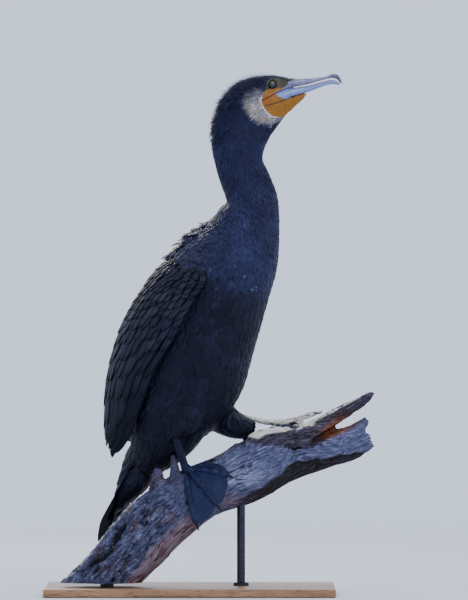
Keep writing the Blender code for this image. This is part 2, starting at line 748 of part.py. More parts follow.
def make_wing(side, name):
    """One folded wing that lies round the side of the body, with its feathers in tiers."""
    shares = np.linspace(0, WING_END, WING_ROWS)
    places = np.linspace(0, 1, WING_COLUMNS)
    outer = [[wing_point(side, s, c) for c in places] for s in shares]
    inner = [[wing_inner(side, s, c) for c in places] for s in shares]
    wing = shell(name, outer, inner, "wing")
    draw = random.Random(11)
    vanes = []
    for root, length, count, first, last, half_width, rise in WING_TIERS.values():
        for i in range(count):
            across = first + (last - first) * i / (count - 1)
            share = root + draw.uniform(-0.012, 0.012)
            long = min(length * draw.uniform(0.93, 1.07), 1.004 - share - 0.012 * abs(i - 1))
            wide = half_width * MM * draw.uniform(0.95, 1.08)
            sink = VANE_SINK * draw.uniform(0.85, 1.15)
            past = VANE_PAST_EDGE * draw.uniform(0.3, 1.0)
            vanes.append(wing_vane(side, share, across, long, wide, rise * MM, sink, past))
    fuse(wing, vanes, "MANIFOLD")
    cut(wing, make_torso(GAP * 1.3, "cutter"))
    return wing


def tail_point(share, angle, lift):
    """A point of the tail's fan: a share of its length, degrees to the left, and a height."""
    end, back, left, _ = trunk_frame(TRUNK_PLACES["tail root"] - GAP / 2)
    tip = np.array(TRUNK_STATIONS["tail tip"][:3]) * MM
    root = end + back * TAIL_LIFT
    ahead = (tip - root) / np.linalg.norm(tip - root)
    back = back - ahead * (back @ ahead)
    back /= np.linalg.norm(back)
    turn = math.radians(angle)
    reach = TAIL_APEX + share * TAIL_LENGTH
    forward = reach * math.cos(turn) - TAIL_APEX
    return root + ahead * forward + left * reach * math.sin(turn) + back * lift


def tail_vane(place):
    """One stiff feather, its place counted from the middle of the tail to the left."""
    rank = abs(place) - 0.5
    reach = 1.0 - TAIL_GRADE * rank
    drop = rank * TAIL_STEP + (0.45 * TAIL_STEP if place < 0 else 0.0)
    upper, lower = [], []
    for on, wide in ((0.12, 0.40), (0.35, 0.75), (0.75, 1.0), (0.93, 0.85), (1.0, 0.45)):
        upper.append([])
        lower.append([])
        for column in (-1, 0, 1):
            share = reach * (on - (0.025 if column and on > 0.9 else 0.0))
            aside = column * wide * TAIL_HALF_WIDTH / (TAIL_APEX + share * TAIL_LENGTH)
            angle = place * TAIL_SPREAD + math.degrees(aside)
            lift = VANE_RIB / 2 * (column == 0) - drop
            upper[-1].append(tail_point(share, angle, lift))
            lower[-1].append(tail_point(share, angle, lift - TAIL_THICKNESS))
    return shell("vane", upper, lower, "wing")


def make_tail():
    """A tapered root with a fan of stiff feathers in it, the middle pair on top."""
    rows = ([], [])
    for share, half, top, bottom in TAIL_ROOT:
        places = np.linspace(-1, 1, TAIL_ROOT_COLUMNS)
        middle = (top + bottom) / 2
        for row, face in zip(rows, (top, bottom)):
            row.append([])
            for place in places:
                bulge = math.cos(place * TAIL_ROOT_BEND) ** 0.6
                row[-1].append(tail_point(share, place * half, middle + (face - middle) * bulge))
    tail = shell("tail", *rows, "wing")
    fuse(tail, [tail_vane(i - (TAIL_VANES - 1) / 2) for i in range(TAIL_VANES)])
    start, normal = bird_plane(TRUNK_PLACES["tail root"] - GAP / 2)
    slice_off(tail, Vector(start), Vector(normal))
    return tail


def drape(station, along, around, lift):
    """A point over the perch from flat millimetres. Past the limit it hangs straight down."""
    place = PERCH_PLACES[station] + along * MM
    angle = math.degrees(around * MM / DRAPE_RADIUS)
    kept = float(np.clip(angle, -DRAPE_LIMIT, DRAPE_LIMIT))
    point = perch_point(place, kept, lift)
    if kept != angle:
        _, up, across, _ = perch_frame(place)
        turn = math.radians(kept)
        down = (-up * math.sin(turn) - across * math.cos(turn)) * math.copysign(1, angle)
        point = point + down * abs(math.radians(angle - kept)) * DRAPE_RADIUS
    return point


def foot_point(side, direction, reach, lift):
    """A point of a foot, at a direction in degrees and a distance from its joint."""
    station, along, around = FOOT_JOINTS[side]
    turn = math.radians(direction)
    return drape(
        station,
        along + reach * math.cos(turn) / MM,
        around + reach * math.sin(turn) / MM,
        lift,
    )


def foot_columns(side):
    """The lines that a webbed foot is made along, in order: share between two toes, lift and reach."""
    toes = TOES[side]
    columns = []
    for i in range(len(toes)):
        columns += [(i, -1, 0.0), (i, 0, 0.0), (i, 1, 0.0)]
        if i < len(toes) - 1:
            columns += [(i, 2, 1 / 3), (i, 2, 2 / 3)]
    return columns


def foot_column_point(side, column, share, lift_scale):
    """A point on one of those lines. lift_scale is 1 on the upper face and 0 underneath."""
    toes = TOES[side]
    i, kind, between = column
    turn, length = toes[i]
    order = math.copysign(1.0, toes[-1][0] - toes[0][0])
    if kind == 2:
        next_turn, next_length = toes[i + 1]
        length = (length + (next_length - length) * between) * WEB_REACH
        reach = FOOT_START + (length * MM - FOOT_START) * share
        edge, next_edge = toe_half_angle(side, i, reach), toe_half_angle(side, i + 1, reach)
        first, last = turn + order * edge, next_turn - order * next_edge
        height = WEB_THICKNESS
        turn = first + (last - first) * between
    else:
        reach = FOOT_START + (length * MM - FOOT_START) * share * (1.0 if kind == 0 else 0.97)
        height = TOE_HEIGHT[0] + (TOE_HEIGHT[1] - TOE_HEIGHT[0]) * share
        height = height if kind == 0 else 0.45 * height
        turn = turn + order * kind * toe_half_angle(side, i, reach)
    return foot_point(side, turn, reach, FOOT_CLEARANCE + height * lift_scale)


def toe_half_angle(side, i, reach):
    """Half of a toe's width as an angle, kept within its share of the fan near the joint."""
    turns = [turn for turn, _ in TOES[side]]
    closest = min(abs(a - turns[i]) for k, a in enumerate(turns) if k != i)
    return min(math.degrees(TOE_WIDTH / reach), 0.36 * closest)


def make_claw(side, turn, length):
    """A hooked claw from inside a toe's tip, down towards the wood."""
    points = []
    for ahead, lift, _ in CLAW_STEPS:
        points.append(foot_point(side, turn, (length + ahead) * MM, FOOT_CLEARANCE + lift * MM))
    return tube("claw", points, [radius * MM for _, _, radius in CLAW_STEPS], CLAW_SIDES, "foot")


def foot_joint(side, lift=7.0 * MM):
    return foot_point(side, 0.0, 0.0, lift)


def make_foot(side, grown_perch):
    """A webbed foot draped over the perch: three webs between four toes, claws and the joint above."""
    columns = foot_columns(side)
    shares = np.linspace(0.0, 1.0, FOOT_ROWS)
    faces = [
        [[foot_column_point(side, c, share, scale) for c in columns] for share in shares]
        for scale in (1.0, 0.0)
    ]
    foot = shell(f"foot_{side}", faces[0], faces[1], "foot")
    sizes = (BALL_RADIUS, BALL_RADIUS * 0.9, BALL_RADIUS)
    ball = ellipsoid("ball", foot_joint(side), sizes, "foot", BALL_RINGS, BALL_SIDES)
    fuse(foot, [ball, *[make_claw(side, turn, length) for turn, length in TOES[side]]])
    cut(foot, grown_perch, keep=True)
    return foot


def make_leg(side, grown_perch):
    """The feathered thigh, the bare shank and the webbed foot."""
    stations = np.array(THIGH_STATIONS[side], float) * MM
    thigh = tube(f"thigh_{side}", stations[:, :3], stations[:, 3], THIGH_SIDES, "plumage")
    cut(thigh, make_torso(GAP * 1.3, "cutter"))
    ankle, joint = np.array(ANKLES[side]) * MM, foot_joint(side)
    line = [ankle + (joint - ankle) * s for s in np.linspace(0, 1, len(SHANK_RADII))]
    shank = tube(f"tarsus_{side}", line, SHANK_RADII, SHANK_SIDES, "foot")
    grown_thigh = tube("cutter", stations[:, :3], stations[:, 3] + 1.2 * GAP, THIGH_SIDES, "plumage")
    cut(shank, grown_thigh)
    cut(shank, make_torso(GAP * 1.3, "cutter"))
    make_foot(side, grown_perch)
    sizes = (BALL_RADIUS + GAP, BALL_RADIUS * 0.9 + GAP, BALL_RADIUS + GAP)
    cut(shank, ellipsoid("cutter", joint, sizes, "foot", BALL_RINGS, BALL_SIDES))


def snag(stations):
    """A broken piece of wood, as a flattened tube."""
    points = [Vector(row[:3]) * MM for row in stations]
    rings = []
    for i, (_, _, _, high, thick) in enumerate(stations):
        ahead = (points[min(i + 1, len(points) - 1)] - points[max(i - 1, 0)]).normalized()
        across = Vector((0.0, 1.0, 0.0))
        across = (across - ahead * across.dot(ahead)).normalized()
        tall = ahead.cross(across)
        ring = []
        for k in range(SNAG_SIDES):
            turn = 2 * math.pi * k / SNAG_SIDES
            rough = 1.0 + 0.16 * math.sin(2.3 * k + 1.7 * i)
            reach = tall * math.cos(turn) * high + across * math.sin(turn) * thick
            ring.append(points[i] + reach * rough * MM)
        rings.append(ring)
    return loft("snag", rings, "wood")


def perch_log(name, lift):
    """The round wood of the perch, sawn off level at its lower end and broken off at the other."""
    angles = np.arange(PERCH_SIDES) * 360.0 / PERCH_SIDES
    places = np.linspace(0, PERCH_KNOTS[-1], PERCH_RINGS)
    rings = np.array([[perch_point(u, a, lift) for a in angles] for u in places])
    ahead = rings[-1].mean(0) - rings[-2].mean(0)
    ahead /= np.linalg.norm(ahead)
    for k in range(PERCH_SIDES):
        rings[-1][k] += ahead * PERCH_BREAK * math.sin(2.7 * k)
    log = loft(name, rings, "wood")
    slice_off(log, Vector((0, 0, PERCH_CUT_HEIGHT - lift)), Vector((0, 0, -1)))
    return log


def make_perch():
    perch = perch_log("perch", 0.0)
    fuse(perch, [snag(rows) for rows in PERCH_SNAGS.values()])
    cut(perch, make_torso(GAP * 1.3, "cutter"))
    return perch


def make_stand(grown_perch):
    """A flat base and two rods up to the perch."""
    outline = []
    step = 90 / (CORNER_POINTS - 1)
    for x, y, first in ((1, 1, 0), (-1, 1, 90), (-1, -1, 180), (1, -1, 270)):
        for k in range(CORNER_POINTS):
            turn = math.radians(first + k * step)
            outline.append(
                (
                    x * (BASE_LENGTH / 2 - BASE_CORNER) + BASE_CORNER * math.cos(turn),
                    y * (BASE_WIDTH / 2 - BASE_CORNER) + BASE_CORNER * math.sin(turn),
                )
            )
    rings = [[(x, y, z) for x, y in outline] for z in (0.0, BASE_THICKNESS)]
    base = loft("stand_base", rings, "base")
    use_modifier(base, "BEVEL", width=BASE_EDGE, segments=2, limit_method="ANGLE", angle_limit=1.0)
    foot = BASE_THICKNESS + GAP
    rear = [(*REAR_ROD, foot), (*REAR_ROD, PERCH_CUT_HEIGHT - GAP)]
    tube("stand_rod_rear", rear, [REAR_ROD_RADIUS] * 2, ROD_SIDES, "steel")
    station = perch_frame(PERCH_PLACES["left foot"])[0]
    front = [(*FRONT_ROD, foot), (*FRONT_ROD, station[2])]
    rod = tube("stand_rod_front", front, [FRONT_ROD_RADIUS] * 2, ROD_SIDES, "steel")
    cut(rod, grown_perch, keep=True)


def main():
    clear_scene()
    make_torso()
    make_head(make_neck())
    make_wing(-1, "wing_right")
    make_wing(1, "wing_left")
    make_tail()
    make_perch()
    grown_perch = perch_log("cutter", GAP)
    make_leg("right", grown_perch)
    make_leg("left", grown_perch)
    make_stand(grown_perch)
    remove(grown_perch)


main()
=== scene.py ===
"""The looks of a great cormorant that stands on a weathered branch, on a plain display stand.

Metres, +Z up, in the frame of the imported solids. The bird looks towards +X, and its right side is
towards -Y, where the camera stands.
"""

import math
from contextlib import contextmanager
from itertools import product

import bmesh
import bpy
import numpy as np
from mathutils import Matrix, Vector, noise
from mathutils.bvhtree import BVHTree


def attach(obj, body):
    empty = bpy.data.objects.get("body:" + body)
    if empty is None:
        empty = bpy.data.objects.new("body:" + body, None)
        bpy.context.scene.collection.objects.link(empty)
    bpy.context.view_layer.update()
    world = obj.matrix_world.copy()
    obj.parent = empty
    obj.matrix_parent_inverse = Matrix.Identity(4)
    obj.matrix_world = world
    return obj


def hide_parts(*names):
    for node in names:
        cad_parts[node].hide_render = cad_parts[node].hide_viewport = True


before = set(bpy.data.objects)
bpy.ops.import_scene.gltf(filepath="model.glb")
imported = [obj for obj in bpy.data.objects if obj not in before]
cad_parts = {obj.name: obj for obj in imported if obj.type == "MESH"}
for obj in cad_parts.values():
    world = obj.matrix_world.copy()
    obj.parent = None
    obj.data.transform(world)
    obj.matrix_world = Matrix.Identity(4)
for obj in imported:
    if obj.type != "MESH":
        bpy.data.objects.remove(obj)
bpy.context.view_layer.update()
bpy.ops.object.select_all(action="DESELECT")

MM = 0.001
DRAW = np.random.default_rng(11)

# The photograph: one of its pixels on the bird's own plane, and the pixel that is the frame's origin.
PIXEL = 1.45 * MM
PHOTO_SIZE = (468, 600)
PHOTO_ORIGIN = (190.0, 594.46)

# The trunk, as in the solids: middle, facing, depth to the belly and to the back, half width.
TRUNK_STATIONS = {
    #             x       y      z    yaw  belly  back  wide
    "tail tip": (-132.0, 53.4, 77.0, 22, 4.0, 4.0, 10.0),
    "tail": (-102.5, 41.4, 133.0, 22, 7.0, 9.0, 14.0),
    "tail root": (-72.5, 29.3, 189.2, 22, 20.0, 25.0, 26.0),
    "vent": (-49.0, 19.8, 215.0, 22, 45.0, 46.0, 43.0),
    "rump": (-36.5, 14.7, 254.8, 22, 69.0, 74.0, 60.0),
    "belly": (-12.2, 4.9, 320.7, 22, 93.0, 97.0, 74.0),
    "middle": (10.4, -4.2, 384.2, 22, 89.0, 92.0, 77.0),
    "breast": (37.7, -15.2, 448.6, 22, 80.0, 84.0, 74.0),
    "shoulder": (63.8, -25.8, 500.2, 21, 66.0, 69.0, 62.0),
    "neck base": (82.7, -33.0, 540.0, 18, 49.0, 50.0, 46.0),
    "low neck": (89.6, -36.0, 572.0, 13, 38.0, 38.0, 35.0),
    "middle neck": (80.9, -37.0, 598.0, 9, 35.5, 35.5, 30.5),
    "high neck": (71.0, -38.0, 626.3, 5, 34.5, 34.5, 28.0),
    "nape": (70.7, -38.0, 659.0, 2, 40.0, 40.0, 26.5),
    "crown": (77.6, -38.0, 684.3, 0, 43.0, 43.0, 24.0),
    "inside head": (87.0, -38.0, 704.0, 0, 28.0, 28.0, 17.0),
}
BODY_YAW = 22.0

# The head's own frame runs forward along the bill and up from the eye, in millimetres.
EYE_PLACE = np.array((119.3, -38.0, 739.4)) * MM
HEAD_TILT = math.radians(14.0)
EYE_RADIUS = 5.6 * MM
EYE_APART = 10.4 * MM
EYE_FORTH = 0.4  # millimetres that the visual eye stands further out than the solid one
EYE_OUTLOOK = (0.30, 0.12)  # how far forwards and up an eye looks, for each step out of the head
CORNEA_BULGE = 0.05
EYE_SHIFT = (-0.8, -1.7)  # millimetres forwards and up from the solid eye to the visual one
BILL_UPPER_STATIONS = (
    # forward, top, bottom, half width
    (22.0, 2.9, -11.2, 9.9),
    (30.0, 0.8, -11.7, 9.4),
    (36.0, -1.2, -12.1, 8.8),
    (51.0, -4.6, -12.9, 7.2),
    (67.0, -7.0, -12.2, 5.8),
    (80.0, -7.6, -12.0, 5.0),
    (87.0, -6.8, -12.6, 4.9),
    (92.0, -7.6, -15.4, 4.3),
    (94.9, -9.8, -20.6, 3.4),
    (96.9, -13.5, -23.8, 2.2),
    (97.9, -18.0, -24.4, 1.0),
)
BILL_LOWER_STATIONS = (
    (-13.0, -19.5, -27.5, 20.6),
    (-9.0, -17.5, -28.5, 20.4),
    (2.0, -15.0, -27.0, 17.6),
    (20.7, -12.3, -25.4, 13.4),
    (36.7, -13.2, -24.6, 9.7),
    (53.5, -14.6, -23.2, 7.2),
    (70.9, -14.0, -20.9, 5.4),
    (84.0, -14.6, -21.2, 4.4),
    (90.0, -17.4, -23.0, 3.2),
    (92.8, -20.0, -24.4, 2.2),
    (94.2, -21.8, -24.8, 1.0),
)

# Edges on the head, in the photograph's pixels.
BARE_SKIN_PIXELS = (
    (261.2, 102.5), (262.6, 96.5), (265.0, 92.0), (266.3, 88.0), (266.4, 84.0), (268.3, 80.6),
    (272.5, 79.0), (278.0, 79.2), (284.0, 80.2), (290.5, 80.9), (297.0, 79.6), (314.0, 84.0),
    (314.0, 93.0), (303.5, 100.5), (293.5, 111.0), (286.5, 119.0), (279.7, 117.6), (272.8, 117.0),
    (268.3, 113.9), (263.7, 108.6),
)
WHITE_PATCH_PIXELS = (
    (264.5, 87.0), (254.0, 87.0), (244.0, 91.5), (240.5, 99.7), (243.5, 109.0), (249.5, 113.4),
    (251.5, 119.5), (260.7, 124.2), (272.8, 126.6), (278.8, 121.2), (284.0, 116.0), (272.8, 110.0),
    (268.0, 99.7),
)
WHITE_RIM_PIXELS = (
    (261.0, 99.0), (261.5, 104.5), (264.2, 110.5), (268.3, 116.0), (273.5, 119.0), (279.5, 119.8),
)
LOWER_HORN_PIXELS = (
    (275.2, 95.0), (279.4, 92.6), (288.1, 88.9), (298.9, 86.6), (303.0, 85.8), (303.0, 93.5), (295.7, 95.9),
    (285.2, 99.7),
)
UPPER_HORN_PIXELS = (
    (272.5, 94.6), (281.3, 90.1), (286.1, 86.5), (291.9, 81.0), (303.0, 79.0), (303.0, 86.0), (298.9, 86.3),
    (288.1, 88.6), (278.0, 92.8),
)
MOUTH_LINE_PIXELS = ((262.3, 101.2), (275.9, 93.9), (288.1, 88.9), (298.9, 86.6))
POUCH_FRONT_PIXELS = ((292.5, 110.0), (302.0, 99.5))
POUCH_FOLD_PIXELS = ((265.5, 106.6), (277.0, 103.6), (287.0, 99.8), (297.0, 95.6))

# A folded wing from the shoulder to the tip: its rear edge, then its front one, each in millimetres
# forward of the stand's middle, out from the bird's own middle, and up.
WING_EDGES = (
    ((3.0, 44.0, 494.0), (39.0, 58.0, 487.0)),
    ((-29.0, 24.0, 482.0), (58.0, 75.0, 463.0)),
    ((-71.0, 10.0, 436.0), (51.0, 82.0, 436.0)),
    ((-98.0, 7.0, 391.0), (32.0, 85.0, 401.0)),
    ((-115.0, 8.0, 340.0), (6.0, 84.0, 358.0)),
    ((-121.0, 15.0, 296.5), (-23.0, 80.0, 317.0)),
    ((-120.0, 25.0, 260.0), (-45.0, 70.0, 272.0)),
    ((-117.0, 35.0, 228.0), (-73.0, 57.0, 226.0)),
    ((-114.0, 42.0, 208.0), (-93.0, 49.0, 202.0)),
    ((-109.0, 45.0, 198.0), (-98.0, 47.0, 196.0)),
)

TAIL_LENGTH = 0.136
TAIL_APEX = 0.050  # metres from the point where the fan's lines meet to its root
TAIL_LIFT = 10.0 * MM  # how far the fan lies over the trunk's own middle line
TAIL_ROOT = (
    # share of the length, half width in degrees, height of the upper and of the under side
    (0.0, 21.0, 20.0 * MM, -42.0 * MM),
    (0.14, 20.0, 15.0 * MM, -40.0 * MM),
    (0.30, 17.0, 9.5 * MM, -31.0 * MM),
    (0.44, 12.0, 4.5 * MM, -21.0 * MM),
    (0.60, 7.0, 1.0 * MM, -10.0 * MM),
)

# Down each thigh: place and radius in millimetres.
THIGH_LINES = {
    "right": (
        (2, -30, 290, 26), (0, -42, 270, 27), (-6, -46, 252, 20), (-16, -42, 240, 12), (-21, -40, 233, 8),
    ),
    "left": (
        (18, 34, 290, 26), (35, 30, 270, 28.5), (52, 25, 254, 24), (66, 19.5, 245.5, 20),
        (77, 15.5, 242.5, 17), (86, 13, 241.5, 13.5),
    ),
}
ANKLES = {"right": (-24.0, -39.0, 238.0), "left": (78.0, 14.5, 242.0)}
# Where the toes meet: the perch's station, millimetres along from it, and millimetres round the perch.
FOOT_JOINTS = {"right": ("right foot", 0.0, 16.0), "left": ("left foot", 36.0, -8.0)}
# Each toe's direction in degrees round its foot, and its length in millimetres.
TOES = {
    "right": ((9.0, 33.0), (43.0, 63.0), (83.0, 80.0), (113.0, 94.0)),
    "left": ((30.0, 33.0), (7.0, 62.0), (-20.0, 78.0), (-44.0, 90.0)),
}
DRAPE_LIMIT = 78.0  # degrees round the perch where a foot leaves it and hangs down
DRAPE_RADIUS = 44.0 * MM
SHANK_RADII = (6.4 * MM, 5.6 * MM, 5.4 * MM, 6.0 * MM, 6.6 * MM)
SHANK_FRONT = np.array([1.0, -0.35, 0.0])  # the way that its front looks
SHANK_SCUTE, SHANK_WAVES = 0.35 * MM, 42  # how proud its scutes stand, and radians of them down it

PERCH_STATIONS = {
    #                x       y      z    radius
    "below the cut": (-166.0, -46.0, -35.0, 47.0),
    "cut": (-147.9, -44.0, -14.0, 47.0),
    "butt": (-108.8, -40.0, 35.5, 45.0),
    "under the tail": (-50.8, -26.0, 100.7, 46.0),
    "right foot": (10.0, -12.0, 145.0, 42.0),
    "left foot": (68.2, 0.0, 169.5, 41.0),
    "beyond": (147.9, 5.0, 206.0, 39.0),
    "fork": (195.8, 5.0, 216.0, 33.0),
    "lower prong": (234.9, 5.0, 222.0, 26.0),
    "broken end": (256.0, 5.0, 234.0, 22.0),
}
PERCH_CUT_HEIGHT = 18.0 * MM
SIDEWAYS, UPWARDS = np.array([0.0, 1.0, 0.0]), np.array([0.0, 0.0, 1.0])


# Colour and materials.
def colour(hex_code):
    """Linear colour from an sRGB hex value."""
    parts = [int(hex_code[i : i + 2], 16) / 255 for i in (1, 3, 5)]
    return (*[c / 12.92 if c <= 0.04045 else ((c + 0.055) / 1.055) ** 2.4 for c in parts], 1.0)


def new_material(name):
    made = bpy.data.materials.new(name)
    made.use_nodes = True
    return made, made.node_tree.nodes["Principled BSDF"]


def fill(node, inputs):
    """Sets a node's inputs, each to a number, a vector, a hex colour or another node's socket."""
    for key, value in inputs.items():
        if isinstance(value, bpy.types.NodeSocket):
            node.id_data.links.new(value, node.inputs[key])
        else:
            node.inputs[key].default_value = colour(value) if isinstance(value, str) else value
    return node


def add_node(shader, kind, inputs=None, **settings):
    """Adds a node beside the shader, with its settings and its inputs."""
    node = shader.id_data.nodes.new(kind)
    for key, value in settings.items():
        setattr(node, key, value)
    return fill(node, inputs or {})


def ramp(shader, source, *stops):
    """A colour ramp with stops of place and hex colour."""
    node = add_node(shader, "ShaderNodeValToRGB", {"Fac": source})
    elements = node.color_ramp.elements
    while len(elements) < len(stops):
        elements.new(0.5)
    for element, (place, code) in zip(elements, stops):
        element.position = place
        element.color = colour(code)
    return node.outputs["Color"]


def mixed(shader, share, first, second, blend="MIX"):
    """One colour turning into another by a share. All three can be sockets."""
    inputs = {0: share, 6: first, 7: second}
    return add_node(shader, "ShaderNodeMix", inputs, data_type="RGBA", blend_type=blend).outputs[2]


def attribute_of(shader, name, output="Fac"):
    return add_node(shader, "ShaderNodeAttribute", attribute_name=name).outputs[output]


def marked(shader, name, first, second):
    """One colour turning into another by a number that the mesh carries under this name."""
    return mixed(shader, attribute_of(shader, name), first, second)


def place_of(shader):
    return add_node(shader, "ShaderNodeTexCoord").outputs["Object"]


def noise_of(shader, vector, size, detail=3.0, roughness=0.55, distortion=0.0):
    """Soft noise whose patches are about this size in metres."""
    inputs = {"Vector": vector, "Scale": 1.0 / size, "Detail": detail, "Roughness": roughness}
    return add_node(shader, "ShaderNodeTexNoise", inputs | {"Distortion": distortion}).outputs["Fac"]


def cells_of(shader, vector, size, feature):
    """A distance within cells of about this size in metres."""
    inputs = {"Vector": vector, "Scale": 1.0 / size}
    return add_node(shader, "ShaderNodeTexVoronoi", inputs, feature=feature).outputs["Distance"]


def calc(shader, operation, *terms):
    """One Math node: each term is a number or a socket."""
    return add_node(shader, "ShaderNodeMath", dict(enumerate(terms)), operation=operation).outputs[0]


def rising(shader, source, low, high, top=1.0):
    """0 where the source is under the low value, and the top value where it is over the high one."""
    inputs = {"Value": source, "From Min": low, "From Max": high, "To Max": top}
    return add_node(shader, "ShaderNodeMapRange", inputs).outputs["Result"]


def bump(shader, height, distance, strength=1.0, below=None):
    """A surface raised by a height, on top of another such surface if there is one below."""
    inputs = {"Height": height, "Distance": distance, "Strength": strength}
    if below is not None:
        inputs["Normal"] = below
    return add_node(shader, "ShaderNodeBump", inputs).outputs["Normal"]


def stretched(shader, vector, scale, rotation=(0.0, 0.0, 0.0)):
    """The same coordinates, stretched and turned, so that a pattern runs along one way."""
    inputs = {"Vector": vector, "Scale": scale, "Rotation": rotation}
    return add_node(shader, "ShaderNodeMapping", inputs).outputs["Vector"]


def vane_coordinates(shader):
    """How far out across a feather from its shaft, and how far along it, both from 0 to 1."""
    uv = add_node(shader, "ShaderNodeUVMap", uv_map="Vane").outputs["UV"]
    parts = add_node(shader, "ShaderNodeSeparateXYZ", {"Vector": uv}).outputs
    across = calc(shader, "MULTIPLY_ADD", parts["X"], 2.0, -1.0)
    return calc(shader, "ABSOLUTE", across), parts["Y"]


def margin_of(shader, across, along, sides_from, tip_from):
    """How far out into the margin of a feather, along its sides and its tip."""
    sides = calc(shader, "SUBTRACT", across, sides_from)
    return calc(shader, "MAXIMUM", sides, calc(shader, "SUBTRACT", along, tip_from))


def barbs_of(shader, across, along, count, slant):
    """Fine ridges that run out slantwise from a feather's shaft."""
    slanted = calc(shader, "MULTIPLY", across, -slant)
    return calc(shader, "SINE", calc(shader, "MULTIPLY_ADD", along, count, slanted))


def contour_feather_material():
    """Oily black contour feathers: matt barbs with a blue and violet gloss along their backs, a blue sheen
    painted into the colour of the neck and breast, and painted glints at the tips of a few.
    """
    made, shader = new_material("contour_feathers")
    across, along = vane_coordinates(shader)
    place = place_of(shader)
    tone, painted_sheen = attribute_of(shader, "tone"), attribute_of(shader, "painted_sheen")
    blotches = calc(shader, "MULTIPLY", noise_of(shader, place, 22 * MM), 0.4)
    shade = calc(shader, "ADD", calc(shader, "MULTIPLY", tone, 0.6), blotches)
    dull = ramp(shader, shade, (0.15, "#070709"), (0.55, "#0D0D13"), (0.9, "#181826"))
    # Painted sheen: these lighter blue colours stand in for the blue sheen on the neck and breast, where
    # the attribute read above is high.
    painted_sheen_colour = ramp(shader, shade, (0.15, "#131325"), (0.5, "#21223C"), (0.8, "#2C3050"), (1.0, "#4A5676"))
    black = mixed(shader, painted_sheen, dull, painted_sheen_colour)
    # Painted glints: where that attribute passes 1, the tips of a few feathers take a pale blue colour that
    # stands in for glints of light.
    tip = calc(shader, "GREATER_THAN", along, 0.82)
    painted_glint = calc(shader, "MULTIPLY", calc(shader, "SUBTRACT", painted_sheen, 1.0), tip)
    black = mixed(shader, painted_glint, black, "#465E78")
    edge = rising(shader, margin_of(shader, across, along, 0.62, 0.80), -0.04, 0.10)
    feather = marked(shader, "bronze", black, mixed(shader, edge, "#2A2B3F", "#0B0B10"))
    grey = ramp(shader, tone, (0.1, "#6A6C78"), (0.5, "#9A9EAA"), (0.9, "#CDD0D6"))
    buff = ramp(shader, tone, (0.1, "#6E5E54"), (0.5, "#A09084"), (0.9, "#D4CAC0"))
    soiled = rising(shader, noise_of(shader, place, 9 * MM), 0.46, 0.58)
    barbs = barbs_of(shader, across, along, 60.0, 9.0)
    fill(shader, {
        "Base Color": marked(shader, "white", feather, mixed(shader, soiled, grey, buff)),
        "Normal": bump(shader, barbs, 0.12 * MM, 0.6),
        "Roughness": 0.48, "Specular IOR Level": 0.20, "Specular Tint": "#C6CCF8",
    })
    return made


def flight_feather_material(name, shine):
    """Stiff wing and tail feathers: bronze-brown vanes with black margins and a hard dark shaft."""
    made, shader = new_material(name)
    across, along = vane_coordinates(shader)
    tone = attribute_of(shader, "tone")
    ragged = calc(shader, "MULTIPLY_ADD", noise_of(shader, place_of(shader), 3 * MM), 0.24, -0.12)
    margin = calc(shader, "ADD", margin_of(shader, across, along, 0.60, 0.86), ragged)
    bronze = ramp(shader, tone, (0.0, "#191A26"), (0.5, "#252633"), (1.0, "#36333C"))
    dark = ramp(shader, tone, (0.0, "#050508"), (1.0, "#0A0B12"))
    vane = marked(shader, "bronze", dark, mixed(shader, rising(shader, margin, -0.06, 0.12), bronze, dark))
    shaft = calc(shader, "LESS_THAN", across, 0.055)
    barbs = barbs_of(shader, across, along, 150.0, 16.0)
    fill(shader, {
        "Base Color": mixed(shader, shaft, vane, "#0C0B0E"), "Normal": bump(shader, barbs, 0.15 * MM, 0.6),
        "Roughness": 0.48, "Specular IOR Level": shine, "Specular Tint": "#BCC4F8",
    })
    return made


def skin_material():
    """Skin: black under the feathers, and where it is bare, thin, pitted and orange-yellow, with painted
    shade dark along the line of the mouth and in the fold of the pouch.
    """
    made, shader = new_material("bare_skin")
    place = place_of(shader)
    mottle = noise_of(shader, place, 3.5 * MM, 5.0, 0.6)
    streaks = noise_of(shader, place, 1.6 * MM, 5.0)
    bare = ramp(shader, mottle, (0.25, "#643903"), (0.5, "#875505"), (0.78, "#9C6906"))
    lore = ramp(shader, mottle, (0.3, "#171513"), (0.52, "#302C22"), (0.72, "#5E4E1C"))
    horn = ramp(shader, streaks, (0.3, "#3F4262"), (0.5, "#5A5E84"), (0.72, "#72779C"))
    lower_horn = ramp(shader, streaks, (0.3, "#566290"), (0.5, "#6C7CAA"), (0.72, "#8692C0"))
    # Painted shade: the dark colour along the mouth line and in the fold of the pouch stands for the shade
    # in them.
    over = {"gape": "#884307", "lore": lore, "horn": horn, "lower_horn": lower_horn, "fold": "#1E1108"}
    for name, shade in over.items():
        bare = marked(shader, name, bare, shade)
    coat = marked(shader, "white", "#07080C", "#BDB8B8")
    pores = cells_of(shader, place, 1.5 * MM, "SMOOTH_F1")
    fill(shader, {
        "Base Color": marked(shader, "bare", coat, bare), "Normal": bump(shader, pores, 0.35 * MM, 0.7),
        "Roughness": 0.5, "Specular IOR Level": 0.3, "Subsurface Weight": 0.08,
        "Subsurface Scale": 1.5 * MM, "Subsurface Radius": (1.0, 0.45, 0.15),
    })
    return made


